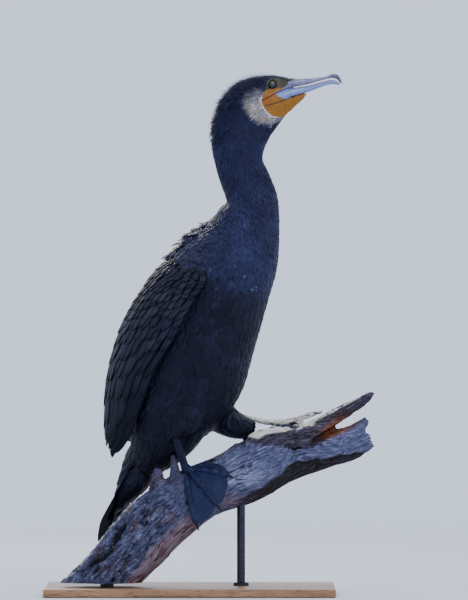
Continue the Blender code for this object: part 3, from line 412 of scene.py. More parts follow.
def horn_material(name, light, middle, dark, culmen):
    """Horn of the bill: grey-lavender plates with fine streaks, a darker colour along the ridge and the
    hook, a pale line of painted light along the cutting edge, and a dull black wedge behind the ridge."""
    made, shader = new_material(name)
    along = stretched(shader, place_of(shader), (0.18, 1.0, 1.0), (0.0, HEAD_TILT, 0.0))
    streaks = noise_of(shader, along, 1.6 * MM, 5.0, 0.6)
    brow = attribute_of(shader, "brow")
    horn = ramp(shader, streaks, (0.28, dark), (0.5, middle), (0.72, light))
    horn = marked(shader, "ridge", horn, culmen)
    # Painted light: a pale line along the cutting edge stands in for the bright light seen between the
    # halves.
    horn = marked(shader, "rim", horn, "#C8A8A4")
    fill(shader, {
        "Base Color": mixed(shader, brow, horn, "#0B0B12"), "Normal": bump(shader, streaks, 0.2 * MM, 0.5),
        "Roughness": 0.32, "IOR": 1.54, "Coat Roughness": 0.2,
        "Coat Weight": calc(shader, "MULTIPLY_ADD", brow, -0.15, 0.15),
        "Specular IOR Level": calc(shader, "MULTIPLY_ADD", brow, -0.4, 0.5),
    })
    return made


def foot_material():
    """Leathery black skin of the feet, with small scales and creases across the webs."""
    made, shader = new_material("foot_leather")
    place = place_of(shader)
    tone = noise_of(shader, place, 14 * MM, 4.0)
    leather = ramp(shader, tone, (0.3, "#12152C"), (0.55, "#1C2240"), (0.8, "#262E5A"))
    scales = rising(shader, cells_of(shader, place, 2.2 * MM, "DISTANCE_TO_EDGE"), 0.0, 0.12)
    leather = marked(shader, "web", "#10121F", leather)
    wrinkles = noise_of(shader, place, 4 * MM, 5.0, 0.65)
    fill(shader, {
        "Base Color": mixed(shader, scales, "#0A0C18", leather),
        "Normal": bump(shader, wrinkles, 0.5 * MM, 0.35, bump(shader, scales, 0.2 * MM, 0.4)),
        "Roughness": 0.5, "Specular IOR Level": 0.25, "Specular Tint": "#C8D0FF",
    })
    return made


def claw_material():
    """Polished black horn."""
    made, shader = new_material("claw_horn")
    streaks = noise_of(shader, place_of(shader), 1.5 * MM, 4.0)
    fill(shader, {
        "Base Color": ramp(shader, streaks, (0.35, "#060608"), (0.7, "#141318")),
        "Normal": bump(shader, streaks, 0.1 * MM, 0.4), "Roughness": 0.4, "Specular IOR Level": 0.2,
    })
    return made


def eye_material():
    """Glass eye: black pupil, emerald iris with radial fibres and a dark rim, under a wet cornea."""
    made, shader = new_material("glass_eye")
    out = attribute_of(shader, "from_pupil")
    fibres = noise_of(shader, place_of(shader), 0.5 * MM, 4.0, 0.7)
    iris = ramp(shader, fibres, (0.3, "#041415"), (0.5, "#07292E"), (0.75, "#124C4C"))
    iris = mixed(shader, calc(shader, "GREATER_THAN", out, 0.92), iris, "#06100E")
    fill(shader, {
        "Base Color": mixed(shader, calc(shader, "LESS_THAN", out, 0.50), iris, "#020203"),
        "Roughness": 0.25, "Coat Weight": 0.5, "Coat Roughness": 0.02, "Coat IOR": 1.38,
    })
    return made


def wood_material():
    """Dead eucalypt wood, grey with weather: silver grain, blue-grey bark with lichen, warm heartwood
    where it has split, painted shade on the brown underside, painted sunlight on broken edges, and
    painted shade in all that is deep."""
    made, shader = new_material("weathered_wood")
    place = place_of(shader)
    lengthwise = attribute_of(shader, "lengthwise", "Vector")
    drawn_out = stretched(shader, lengthwise, (3.0, 1.0, 1.0))
    grain = noise_of(shader, lengthwise, 2.4 * MM, 7.0, 0.66, 0.5)
    broad = noise_of(shader, place, 30 * MM, 5.0, 0.6, 0.4)
    flakes = noise_of(shader, drawn_out, 6 * MM, 8.0, 0.76, 0.4)

    silver = ramp(shader, grain, (0.30, "#1E2034"), (0.43, "#484C68"), (0.54, "#686D8C"), (0.70, "#A3A8C0"))
    bleached = ramp(shader, grain, (0.30, "#4A5270"), (0.45, "#7C84A4"), (0.70, "#C4C8DC"))
    pinkish = ramp(shader, grain, (0.28, "#483A3E"), (0.5, "#8C7A84"), (0.72, "#C2B0B8"))
    russet = ramp(shader, grain, (0.30, "#26151A"), (0.5, "#62444A"), (0.72, "#A08A90"))
    stains = rising(shader, noise_of(shader, drawn_out, 11 * MM, 5.0, 0.65), 0.50, 0.58)
    brown = ramp(shader, grain, (0.30, "#110F14"), (0.5, "#3E3946"), (0.72, "#767082"))
    wood = marked(shader, "bleached", silver, bleached)
    wood = marked(shader, "smooth", wood, mixed(shader, stains, pinkish, russet))
    wood = marked(shader, "slab", wood, brown)

    bark = ramp(shader, flakes, (0.34, "#1B1C2A"), (0.45, "#444A66"), (0.55, "#62698A"), (0.68, "#979FBC"))
    bark = mixed(shader, calc(shader, "MULTIPLY", grain, 0.35), bark, "#4A3A40")
    worn_bark = ramp(shader, grain, (0.30, "#2A1E22"), (0.5, "#5E484C"), (0.72, "#907880"))
    bark = mixed(shader, rising(shader, broad, 0.52, 0.62, 0.7), bark, worn_bark)
    pepper = rising(shader, noise_of(shader, place, 4.5 * MM, 4.0, 0.7), 0.55, 0.61, 0.85)
    bark = mixed(shader, pepper, bark, "#11121B")

    wood = marked(shader, "bark", wood, bark)
    wood = mixed(shader, 0.8, wood, mixed(shader, broad, "#A8A0A8", "#F4F0F6"), "MULTIPLY")
    layers = {
        "heart": ramp(shader, grain, (0.3, "#4A2410"), (0.6, "#8E5126")),
        # Painted shade: the underside is brown-black, shade painted over brown wood.
        "char": ramp(shader, grain, (0.35, "#0B090C"), (0.55, "#26202A"), (0.7, "#51444E")),
        # Painted sunlight: pale, warm colours for the sunlit broken edges.
        "pale": ramp(shader, grain, (0.30, "#7D7268"), (0.45, "#C9BFB2"), (0.7, "#EFE9DF")),
        # Painted shade: near black in what is cut deep, for the shade in cracks, pits and furrows.
        "deep": "#0C0B10",
    }
    for name, shade in layers.items():
        wood = marked(shader, name, wood, shade)
    lichen = rising(shader, noise_of(shader, place, 9 * MM, 6.0, 0.8), 0.58, 0.64)
    lichen = calc(shader, "MULTIPLY", lichen, attribute_of(shader, "bark"))
    lichen = calc(shader, "MULTIPLY", lichen, 0.6)
    fill(shader, {
        "Base Color": mixed(shader, lichen, wood, "#929EBE"),
        "Normal": bump(shader, flakes, 1.8 * MM, 0.7, bump(shader, grain, 1.4 * MM)),
        "Roughness": 0.85, "Specular IOR Level": 0.2,
    })
    return made


def base_material():
    """Oiled oak board: long brown grain with darker pores under a thin satin oil."""
    made, shader = new_material("oiled_oak")
    grain_way = stretched(shader, place_of(shader), (0.06, 1.0, 1.0))
    growth = noise_of(shader, grain_way, 9 * MM, 4.0, 0.55, 0.8)
    pores = noise_of(shader, grain_way, 1.1 * MM, 3.0, 0.6)
    oak = ramp(shader, growth, (0.25, "#6E4A2C"), (0.5, "#8D6440"), (0.75, "#A67C54"))
    fill(shader, {
        "Base Color": mixed(shader, rising(shader, pores, 0.36, 0.44), "#4C321D", oak),
        "Normal": bump(shader, pores, 0.15 * MM, 0.5),
        "Roughness": 0.42, "Coat Weight": 0.25, "Coat Roughness": 0.3,
    })
    return made


def steel_material():
    """Turned steel rod, blackened and waxed: fine rings round it and a soft dark shine."""
    made, shader = new_material("blackened_steel")
    rings = noise_of(shader, stretched(shader, place_of(shader), (0.1, 0.1, 1.0)), 0.8 * MM)
    fill(shader, {
        "Base Color": ramp(shader, rings, (0.3, "#2A2A2E"), (0.7, "#45454B")),
        "Normal": bump(shader, rings, 0.05 * MM, 0.4), "Metallic": 1.0, "Roughness": 0.38,
    })
    return made


# Meshes.
def dress(target, finish_of, slot, *replaced):
    """Gives a finished piece its material, its body and the solids that it stands for. The slot is not
    used.
    """
    target.data.materials.clear()
    target.data.materials.append(finish_of)
    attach(target, "root")
    if replaced:
        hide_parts(*replaced)
    return target


def active(target):
    bpy.ops.object.select_all(action="DESELECT")
    target.select_set(True)
    bpy.context.view_layer.objects.active = target
    return target


def join(pieces):
    """Joins the pieces into the first one."""
    joined = active(pieces[0])
    for piece in pieces:
        piece.select_set(True)
    bpy.ops.object.join()
    return joined


def apply_modifier(target, kind, **settings):
    active(target)
    modifier = target.modifiers.new(kind.title(), kind)
    for key, value in settings.items():
        setattr(modifier, key, value)
    bpy.ops.object.modifier_apply(modifier=modifier.name)


@contextmanager
def form_of(mesh):
    """A mesh's form to work on, which then goes back into the mesh."""
    form = bmesh.new()
    form.from_mesh(mesh)
    yield form
    form.to_mesh(mesh)
    form.free()


def cut_off(target, place, away):
    """Cuts off all that lies beyond a plane, and closes the cut."""
    with form_of(target.data) as form:
        geometry = [*form.verts, *form.edges, *form.faces]
        found = bmesh.ops.bisect_plane(form, geom=geometry, plane_co=place, plane_no=away, clear_outer=True)
        rim = [part for part in found["geom_cut"] if isinstance(part, bmesh.types.BMEdge)]
        bmesh.ops.triangle_fill(form, edges=rim)
        bmesh.ops.recalc_face_normals(form, faces=form.faces)


def new_object(name, data):
    made = bpy.data.objects.new(name, data)
    bpy.context.scene.collection.objects.link(made)
    return made


def closed_object(name, points, faces):
    """A closed mesh from points and faces, with all its faces turned out."""
    mesh = bpy.data.meshes.new(name)
    mesh.from_pydata([tuple(p) for p in points], [], [tuple(f) for f in faces])
    with form_of(mesh) as form:
        bmesh.ops.recalc_face_normals(form, faces=form.faces)
    return new_object(name, mesh)


def smooth(target, degrees=180.0):
    active(target)
    if degrees >= 180.0:
        bpy.ops.object.shade_smooth()
    else:
        bpy.ops.object.shade_smooth_by_angle(angle=math.radians(degrees))


def full_turn(sides):
    """The angles of points that stand evenly round a ring."""
    return np.linspace(0, 2 * math.pi, sides, endpoint=False)


def loft(name, rings):
    """A closed solid through rings of points, with a fan at each end."""
    rings = np.asarray(rings, float)
    count, sides = rings.shape[:2]
    points = [*rings.reshape(-1, 3), rings[0].mean(0), rings[-1].mean(0)]
    first, last = count * sides, count * sides + 1
    faces = []
    for i in range(sides):
        j = (i + 1) % sides
        faces += [(first, j, i), (last, (count - 1) * sides + i, (count - 1) * sides + j)]
        for r in range(count - 1):
            low, high = r * sides, (r + 1) * sides
            faces.append((low + i, low + j, high + j, high + i))
    return closed_object(name, points, faces)


def tube(name, points, radii, sides, flat=1.0):
    """A closed tube along points, with its own radius at each. Flat narrows it across the Y axis."""
    points = [Vector(p) for p in points]
    rings = []
    for i, point in enumerate(points):
        ahead = (points[min(i + 1, len(points) - 1)] - points[max(i - 1, 0)]).normalized()
        side = (Vector((0.0, 1.0, 0.0)) - ahead * ahead.y).normalized()
        other = ahead.cross(side)
        turns = [2 * math.pi * k / sides for k in range(sides)]
        rings.append([point + (side * flat * math.cos(t) + other * math.sin(t)) * radii[i] for t in turns])
    return loft(name, rings)


def grid_faces(rows, columns, first=0):
    """The faces between the points of a grid, whose first point has this number."""
    corners = [first + r * columns + c for r, c in product(range(rows - 1), range(columns - 1))]
    return [(a, a + 1, a + columns + 1, a + columns) for a in corners]


def shell(name, outer, inner):
    """A closed sheet between two grids of points of the same size."""
    outer, inner = np.asarray(outer, float), np.asarray(inner, float)
    rows, columns = outer.shape[:2]
    below = rows * columns
    faces = []
    for a, b, c, d in grid_faces(rows, columns):
        faces += [(a, b, c, d), (below + a, below + d, below + c, below + b)]
    rim = list(range(columns)) + [r * columns + columns - 1 for r in range(1, rows)]
    rim += [(rows - 1) * columns + c for c in range(columns - 2, -1, -1)]
    rim += [r * columns for r in range(rows - 2, 0, -1)]
    for a, b in zip(rim, rim[1:] + rim[:1]):
        faces.append((a, below + a, below + b, b))
    return closed_object(name, [*outer.reshape(-1, 3), *inner.reshape(-1, 3)], faces)


def set_attribute(target, name, values):
    """A number at each point of a mesh, for its material to read."""
    layer = target.data.attributes.get(name) or target.data.attributes.new(name, "FLOAT", "POINT")
    layer.data.foreach_set("value", np.asarray(values, np.float32))


def mark(target, **attributes):
    """Several such numbers at once."""
    for name, values in attributes.items():
        set_attribute(target, name, values)


def points_of(target):
    places = np.empty(len(target.data.vertices) * 3)
    target.data.vertices.foreach_get("co", places)
    return places.reshape(-1, 3)


def normals_of(target):
    ways = np.empty(len(target.data.vertices) * 3)
    target.data.vertex_normals.foreach_get("vector", ways)
    return ways.reshape(-1, 3)


def set_points(target, places):
    target.data.vertices.foreach_set("co", np.asarray(places, float).ravel())
    target.data.update()


def unit(vectors):
    return vectors / np.maximum(np.linalg.norm(vectors, axis=-1, keepdims=True), 1e-12)


def noise_at(places, size, seed=0.0, octaves=3):
    """Noise of about -1 to 1 at each place, with patches of this size in metres."""
    shift = Vector((seed, seed * 1.7, seed * 0.3))
    return np.array([noise.fractal(Vector(p) / size + shift, 1.0, 2.0, octaves) for p in places])


def step_up(values, low, high):
    """0 under the low value, 1 over the high one, and smooth between."""
    share = np.clip((np.asarray(values, float) - low) / (high - low), 0.0, 1.0)
    return share * share * (3 - 2 * share)


def step_down(values, low, high):
    """1 under the low value, 0 over the high one, and smooth between."""
    return step_up(-np.asarray(values, float), -high, -low)


def band(values, start, full, last, end):
    """1 from the full value to the last one, and 0 before the start and past the end."""
    return step_up(values, start, full) * step_down(values, last, end)


def bell(values, width):
    """1 where the values are 0, and falling off evenly to both sides."""
    return np.exp(-((values / width) ** 2))


def mound(places, middle, widths):
    """1 at the middle of an oval or a ball, and falling off evenly round it."""
    return np.exp(-(((places - np.array(middle)) / widths) ** 2).sum(-1))


# Curves, the trunk and the head.
def on_curve(knots, values, at):
    """Values at places of a smooth curve that passes through all the knots."""
    at = np.asarray(at, float)
    slopes = np.gradient(values, knots, axis=0)
    i = np.clip(np.searchsorted(knots, at) - 1, 0, len(knots) - 2)
    step = knots[i + 1] - knots[i]
    t = (at - knots[i]) / step
    extra = (None,) * (values.ndim - 1)
    t, step = t[(..., *extra)], step[(..., *extra)]
    return (
        values[i] * (1 + 2 * t) * (1 - t) ** 2
        + values[i + 1] * t * t * (3 - 2 * t)
        + step * slopes[i] * t * (1 - t) ** 2
        + step * slopes[i + 1] * t * t * (t - 1)
    )


def distances(points):
    steps = np.linalg.norm(np.diff(points, axis=0), axis=1)
    return np.concatenate([[0.0], np.cumsum(steps)])


TRUNK = np.array(list(TRUNK_STATIONS.values()))
TRUNK[:, [0, 1, 2, 4, 5, 6]] *= MM
TRUNK_KNOTS = distances(TRUNK[:, :3])
TRUNK_PLACES = dict(zip(TRUNK_STATIONS, TRUNK_KNOTS))
PERCH = np.array(list(PERCH_STATIONS.values())) * MM
PERCH_KNOTS = distances(PERCH[:, :3])
PERCH_PLACES = dict(zip(PERCH_STATIONS, PERCH_KNOTS))
WING = np.array(WING_EDGES) * MM
WING_KNOTS = distances(WING.mean(1))
WING_KNOTS /= WING_KNOTS[-1]


def head_point(forward, up, across=0.0):
    """A point of the head's frame, given in millimetres."""
    forward, up, across = np.broadcast_arrays(forward, up, across)
    x = forward * math.cos(HEAD_TILT) - up * math.sin(HEAD_TILT)
    z = forward * math.sin(HEAD_TILT) + up * math.cos(HEAD_TILT)
    return EYE_PLACE + MM * np.stack([x, across, z], -1)


def in_head(places):
    """Forward, up and across, in millimetres, of points in the head's frame."""
    away = (np.asarray(places) - EYE_PLACE) / MM
    forward = away[..., 0] * math.cos(HEAD_TILT) + away[..., 2] * math.sin(HEAD_TILT)
    up = away[..., 2] * math.cos(HEAD_TILT) - away[..., 0] * math.sin(HEAD_TILT)
    return forward, up, away[..., 1]


def pixels_in_head(pixels):
    """Forward and up, in millimetres, of pixels of the photograph."""
    pixels = np.asarray(pixels, float)
    x = (pixels[:, 0] - PHOTO_ORIGIN[0]) * PIXEL
    z = (PHOTO_ORIGIN[1] - pixels[:, 1]) * PIXEL
    forward, up, _ = in_head(np.stack([x, np.full(len(x), EYE_PLACE[1]), z], -1))
    return np.stack([forward, up], -1)


def distance_to_line(points, line, closed=False):
    """How far flat points are from a line of straight stretches."""
    line = np.asarray(line)
    ends = np.roll(line, -1, axis=0) if closed else line[1:]
    nearest = np.full(len(points), 1e9)
    for a, b in zip(line, ends):
        t = np.clip(((points - a) @ (b - a)) / ((b - a) @ (b - a)), 0, 1)
        nearest = np.minimum(nearest, np.linalg.norm(points - a - t[:, None] * (b - a), axis=1))
    return nearest


def depth_inside(points, outline):
    """Distance of flat points from a closed outline, positive inside it."""
    outline = np.asarray(outline)
    inside = np.zeros(len(points), bool)
    for a, b in zip(outline, np.roll(outline, -1, axis=0)):
        crosses = (a[1] > points[:, 1]) != (b[1] > points[:, 1])
        run = (points[:, 1] - a[1]) / (b[1] - a[1] + 1e-12) * (b[0] - a[0]) + a[0]
        inside ^= crosses & (points[:, 0] < run)
    away = distance_to_line(points, outline, True)
    return np.where(inside, away, -away)


def trunk_frame(along):
    """Middle, way ahead, way to the back and way to the bird's left, at a place on the trunk."""
    here = on_curve(TRUNK_KNOTS, TRUNK, along)
    ahead = on_curve(TRUNK_KNOTS, TRUNK, along + MM)[:3] - on_curve(TRUNK_KNOTS, TRUNK, along - MM)[:3]
    ahead /= np.linalg.norm(ahead)
    yaw = math.radians(here[3])
    left = np.array([math.sin(yaw), math.cos(yaw), 0.0])
    left = unit(left - ahead * (left @ ahead))
    return here[:3], ahead, np.cross(ahead, left), left


SPINE_START, SPINE_STEP = 0.10, 0.008  # metres along the trunk
SPINE_IN_HEAD = ((-34, -24), (-25, -20), (-15, -17), (-5, -15), (5, -13), (15, -13), (30, -13), (60, -14))


def make_spine():
    """The line that the coat lies along, from the tail to the tip of the bill, with its frames."""
    rows = [trunk_frame(along) for along in np.arange(SPINE_START, TRUNK_KNOTS[-1], SPINE_STEP)]
    for forward, up in SPINE_IN_HEAD:
        ahead = unit(head_point(forward + 1, up) - head_point(forward - 1, up))
        rows.append((head_point(forward, up), ahead, np.cross(ahead, SIDEWAYS), SIDEWAYS))
    return [np.array(column) for column in zip(*rows)]


SPINE, SPINE_AHEAD, SPINE_BACK, SPINE_LEFT = make_spine()
SPINE_ALONG = distances(SPINE) + SPINE_START


def lie_of(places):
    """Where each place is along the spine, the angle round it from the back, and the coat's lie there."""
    away = places[:, None, :] - SPINE[None]
    near = 1.0 / ((away**2).sum(-1) + (5 * MM) ** 2) ** 3
    near /= near.sum(1, keepdims=True)
    along = near @ SPINE_ALONG
    lie = -(near @ SPINE_AHEAD)
    out = np.einsum("ns,nsk->nk", near, away)
    angle = np.degrees(np.arctan2((out * (near @ SPINE_LEFT)).sum(1), (out * (near @ SPINE_BACK)).sum(1)))
    return along, angle, lie


def flat_in_head(places):
    """Forward and up, in millimetres, of points in the head's frame."""
    return np.stack(in_head(places)[:2], -1)


BARE_SKIN = pixels_in_head(BARE_SKIN_PIXELS)
MOUTH_LINE = pixels_in_head(MOUTH_LINE_PIXELS)
POUCH_FOLD = pixels_in_head(POUCH_FOLD_PIXELS)
POUCH_FRONT = pixels_in_head(POUCH_FRONT_PIXELS)
UPPER_HORN = pixels_in_head(UPPER_HORN_PIXELS)
LOWER_HORN = pixels_in_head(LOWER_HORN_PIXELS)
WHITE_PATCH = pixels_in_head(WHITE_PATCH_PIXELS)
WHITE_RIM = pixels_in_head(WHITE_RIM_PIXELS)


def bareness(places):
    """How many millimetres inside the bare skin of the face and pouch a place is."""
    return depth_inside(flat_in_head(places), BARE_SKIN)


def whiteness(places):
    """The white patch behind the pouch: bright along its rim, and grey streaks that fade into the black."""
    flat = flat_in_head(places)
    streaks = noise_at(places * (1.0, 1.0, 1.6), 4.5 * MM, 3.0)
    lower = step_up(-flat[:, 1] - 0.35 * flat[:, 0], 22.0, 42.0)
    inside = (depth_inside(flat, WHITE_PATCH) + 2.5 * streaks + 1.0) / (17.0 - 9.0 * lower)
    inside = step_up(inside, 0.0, 1.0)
    rim = bell(distance_to_line(flat, WHITE_RIM), 3.2)
    return np.clip(inside * (0.52 + 0.36 * lower) * (1 + 0.5 * streaks) + 0.45 * rim, 0, 1)


def tail_points(share, angle, lift):
    """Points of the tail's fan: a share of its length, degrees to the left, and a height."""
    end, _, back, left = trunk_frame(TRUNK_PLACES["tail root"])
    tip = np.array(TRUNK_STATIONS["tail tip"][:3]) * MM
    root = end + back * TAIL_LIFT
    ahead = unit(tip - root)
    back = unit(back - ahead * (back @ ahead))
    turn = np.radians(angle)
    reach = TAIL_APEX + np.asarray(share) * TAIL_LENGTH
    forward = (reach * np.cos(turn) - TAIL_APEX)[..., None]
    aside, lift = (reach * np.sin(turn))[..., None], np.asarray(lift)[..., None]
    return root + ahead * forward + left * aside + back * lift


# The skin.
FLESH = ("torso", "neck_lower", "neck_upper", "head", "gular_pouch", "thigh_left", "thigh_right")
SKIN_VOXEL = 2.6 * MM
SKIN_ROUNDS = 9
POUCH_FULLNESS = 1.8  # millimetres that the pouch's front edge stands out
LIDS = ((0.95, 6.9, 1.15), (0.35, 9.2, 0.7))  # height, distance from the eye and width, in millimetres
FOLD_WIDTH, MOUTH_WIDTH = 0.9, 0.8  # millimetres
# How deep the skin lies under the coat: metres along the spine, and millimetres of depth.
COAT_DEPTHS = ((0.12, 2.0), (0.20, 3.2), (0.38, 2.4), (0.46, 1.4), (0.56, 1.4), (0.62, 0.7), (0.72, 0.3))
# Where it lies deeper or less deep than that: millimetres of depth, then a middle and widths in metres.
COAT_HOLLOWS = (
    (9.0, (0.0246, -0.030, 0.5415), (0.030, 0.040, 0.026)),  # the hollow of the nape
    (5.5, (0.002, -0.010, 0.523), (0.026, 0.060, 0.020)),  # between the shoulders
    (5.5, (-0.032, 0.0, 0.492), (0.036, 0.060, 0.030)),  # the upper back
    (-3.4, (0.124, -0.05, 0.480), (0.030, 0.060, 0.032)),  # the breast
)


def copy_of_node(name):
    """A new mesh from a CAD solid, with its loose triangles merged."""
    made = active(new_object("flesh_" + name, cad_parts[name].data.copy()))
    bpy.ops.object.mode_set(mode="EDIT")
    bpy.ops.mesh.select_all(action="SELECT")
    bpy.ops.mesh.remove_doubles(threshold=1e-6)
    bpy.ops.object.mode_set(mode="OBJECT")
    return made


def tail_flesh():
    """The fleshy root of the tail, that the coverts lie on."""
    turns = full_turn(24)
    rings = [tail_points(-0.2, 12 * np.sin(turns), -4 * MM + 10 * MM * np.cos(turns))]
    for share, half, top, bottom in TAIL_ROOT:
        middle, high = (top + bottom) / 2, (top - bottom) / 2
        rings.append(tail_points(share, half * 0.92 * np.sin(turns), middle + high * 0.9 * np.cos(turns)))
    return loft("flesh_tail", rings)


def square_ring(sides, power):
    """How high and how wide the points of a ring stand, a little squarer than a circle."""
    high, wide = np.cos(full_turn(sides)), np.sin(full_turn(sides))
    return np.sign(high) * np.abs(high) ** power, np.sign(wide) * np.abs(wide) ** power


def gape_flesh():
    """The corner of the mouth, where skin covers the rear of the lower bill."""
    rows = np.array(BILL_LOWER_STATIONS)
    high, wide = square_ring(32, 0.87)
    rings = []
    for forward, top, bottom, half in on_curve(rows[:, 0], rows, np.linspace(-13.0, 16.0, 14)):
        rings.append(head_point(forward, (top + bottom) / 2 + (top - bottom) / 2 * high, half * wide))
    return loft("flesh_gape", rings)


def relax(target, weights, rounds):
    """Moves each point towards the middle of its neighbours, by its own weight."""
    edges = np.empty(len(target.data.edges) * 2, int)
    target.data.edges.foreach_get("vertices", edges)
    a, b = edges.reshape(-1, 2).T
    places = points_of(target)
    count = np.bincount(a, minlength=len(places)) + np.bincount(b, minlength=len(places))
    for _ in range(rounds):
        total = np.zeros_like(places)
        for axis in range(3):
            total[:, axis] += np.bincount(a, places[b, axis], len(places))
            total[:, axis] += np.bincount(b, places[a, axis], len(places))
        places += (total / count[:, None] - places) * weights[:, None]
    set_points(target, places)


def subdivide_where(target, test):
    """Cuts in four the faces whose points all pass the test."""
    passed = test(points_of(target))
    with form_of(target.data) as form:
        edges = [e for e in form.edges if passed[e.verts[0].index] and passed[e.verts[1].index]]
        bmesh.ops.subdivide_edges(form, edges=edges, cuts=1, use_grid_fill=True)
        bmesh.ops.triangulate(form, faces=[f for f in form.faces if len(f.verts) > 4])


def shape_face(places):
    """The lids, the hollow in front of the eye, the line of the mouth and the folds of the pouch."""
    forward, up, across = in_head(places)
    flat, aside = np.stack([forward, up], -1), np.abs(across)
    out = np.hypot((forward - EYE_SHIFT[0]) * 0.97, up - EYE_SHIFT[1])
    lids = sum(high * bell(out - away, wide) for high, away, wide in LIDS)
    shift = np.where((aside > 5) & (out < 12), lids, 0.0)
    shift -= mound(flat, (15.0, -1.5), (6.5, 4.5)) * (aside > 4)  # the hollow in front of the eye
    shift += 0.7 * mound(flat, (2.0, 10.5), (11, 2.4))  # the brow
    shift -= 1.1 * bell(distance_to_line(flat, MOUTH_LINE), MOUTH_WIDTH)
    shift -= 0.9 * bell(distance_to_line(flat, POUCH_FOLD), FOLD_WIDTH) * (aside > 6)
    shift += 0.4 * bell(distance_to_line(flat, POUCH_FOLD + (0.0, -2.6)), 1.2) * (aside > 6)
    socket = EYE_APART / MM + np.sqrt(np.clip((EYE_RADIUS / MM) ** 2 - out**2, 0, None)) - 1.3
    in_socket = (aside > 5) & (out < EYE_RADIUS / MM - 0.1)
    moved = places.copy()
    moved[:, 1] += np.sign(across) * (np.where(in_socket, socket, aside + shift) - aside) * MM
    full = POUCH_FULLNESS * bell(distance_to_line(flat, POUCH_FRONT), 5.0)
    fuller = head_point(forward + 0.6 * full, up - 0.8 * full, across)
    return moved + fuller - head_point(forward, up, across)


def coat_depth(places):
    """How far the skin lies under the outer surface of the coat."""
    along, _, _ = lie_of(places)
    depth = np.interp(along, *np.array(COAT_DEPTHS).T) * MM
    depth = depth * (1 - 0.75 * thigh_lie(places)[0])
    extra = sum(deep * mound(places, middle, widths) for deep, middle, widths in COAT_HOLLOWS)
    return (depth + extra * MM) * step_up(-bareness(places), 0.0, 3.0)


def make_skin():
    """The skin under the coat: one closed surface over all the flesh, with its bare face marked."""
    leg = np.array(THIGH_LINES["left"])[1:] * MM
    pieces = [copy_of_node(name) for name in FLESH]
    pieces += [tail_flesh(), gape_flesh(), tube("flesh_leg", leg[:, :3], leg[:, 3], 24)]
    skin = join(pieces)
    skin.name = skin.data.name = "skin"
    apply_modifier(skin, "REMESH", mode="VOXEL", voxel_size=SKIN_VOXEL)
    places = points_of(skin)
    face = step_up(in_head(places)[0], -60, -25)
    relax(skin, (0.5 - 0.3 * face) * (1 - 0.8 * thigh_lie(places)[0]), SKIN_ROUNDS)
    subdivide_where(skin, lambda p: (in_head(p)[0] > -46) & (in_head(p)[1] > -62))
    subdivide_where(skin, lambda p: bareness(p) > -3.5)
    relax(skin, 0.4 * step_up(in_head(points_of(skin))[0], -60, -40), 3)
    places = points_of(skin)
    places -= normals_of(skin) * coat_depth(places)[:, None]
    set_points(skin, shape_face(places))

    places = points_of(skin)
    flat = flat_in_head(places)
    forward, up = flat.T
    # Painted shade along the fold of the pouch and the line of the mouth, put into the skin's colour.
    fold = bell(distance_to_line(flat, POUCH_FOLD), FOLD_WIDTH)
    fold += bell(distance_to_line(flat, MOUTH_LINE), MOUTH_WIDTH)
    mark(
        skin,
        bare=step_up(depth_inside(flat, BARE_SKIN), -0.4, 0.4),
        gape=bell(np.hypot(forward + 15.0, up + 21.0), 8.0),
        lore=step_up(up + 0.1 * forward, -9.4, -6.0),
        fold=0.85 * np.clip(fold, 0, 1),
        white=whiteness(places),
        horn=step_up(depth_inside(flat, UPPER_HORN), -0.4, 0.4),
        lower_horn=step_up(depth_inside(flat, LOWER_HORN), -0.4, 0.4),
    )
    smooth(skin)
    return skin


# Feathers.
def vane_template(rows, columns, tip_round=0.10):
    """Places along and across one closed feather, its bulge, and its faces. Its underside is drawn
    straight from edge to edge under the bulging upper side."""
    along, x = (part.ravel() for part in np.meshgrid(rows, columns, indexing="ij"))
    t = along * (1 - tip_round * x * x * along**3)
    wide, long = len(columns), len(rows)
    faces = grid_faces(long, wide)
    left = [r * wide for r in range(long)]
    right = [r * wide + wide - 1 for r in range(long)]
    faces.append([left[1], right[1], *range(right[0], left[0] - 1, -1)])
    for r in range(1, long - 2):
        faces.append((left[r], left[r + 1], right[r + 1], right[r]))
    faces.append([left[-2], *range(left[-1], right[-1] + 1), right[-2]])
    return t, x, 1 - x * x, faces


def tuft_template(rows=(0.0, 0.34, 0.70)):
    """A tapered three-sided lock that ends in a point."""
    t = np.append(np.repeat(rows, 3), 1.0)
    x = np.array([-1.0, 1.0, 0.0] * len(rows) + [0.0])
    bulge = np.array([0.0, 0.0, 1.0] * len(rows) + [0.0])
    tip = 3 * len(rows)
    sides = ((0, 1), (1, 2), (2, 0))
    faces = [(2, 1, 0)]
    for low in range(0, tip - 3, 3):
        faces += [(low + a, low + b, low + 3 + b, low + 3 + a) for a, b in sides]
    faces += [(tip - 3 + a, tip - 3 + b, tip) for a, b in sides]
    return t, x, bulge, faces


CONTOUR = vane_template((0.0, 0.3, 0.62, 0.86, 1.0), (-1.0, -0.5, 0.0, 0.5, 1.0), 0.16)
MANTLE = vane_template((0.0, 0.2, 0.42, 0.64, 0.82, 0.94, 1.0), (-1.0, -0.6, -0.22, 0.22, 0.6, 1.0), 0.14)
TUFT = tuft_template()
CONTOUR_WIDTHS = ((0.0, 0.30), (0.3, 0.80), (0.62, 1.0), (0.86, 0.86), (1.0, 0.42))
TUFT_WIDTHS = ((0.0, 0.7), (0.34, 1.0), (0.7, 0.7), (1.0, 0.0))
PATCH = 0.003  # how wide a feather's patch is on its bake map
ROOT_SINK = 0.9 * MM  # how deep a feather's root stands in the skin
VANE_ARCH = 0.16  # how far a vane bulges, as a share of its width


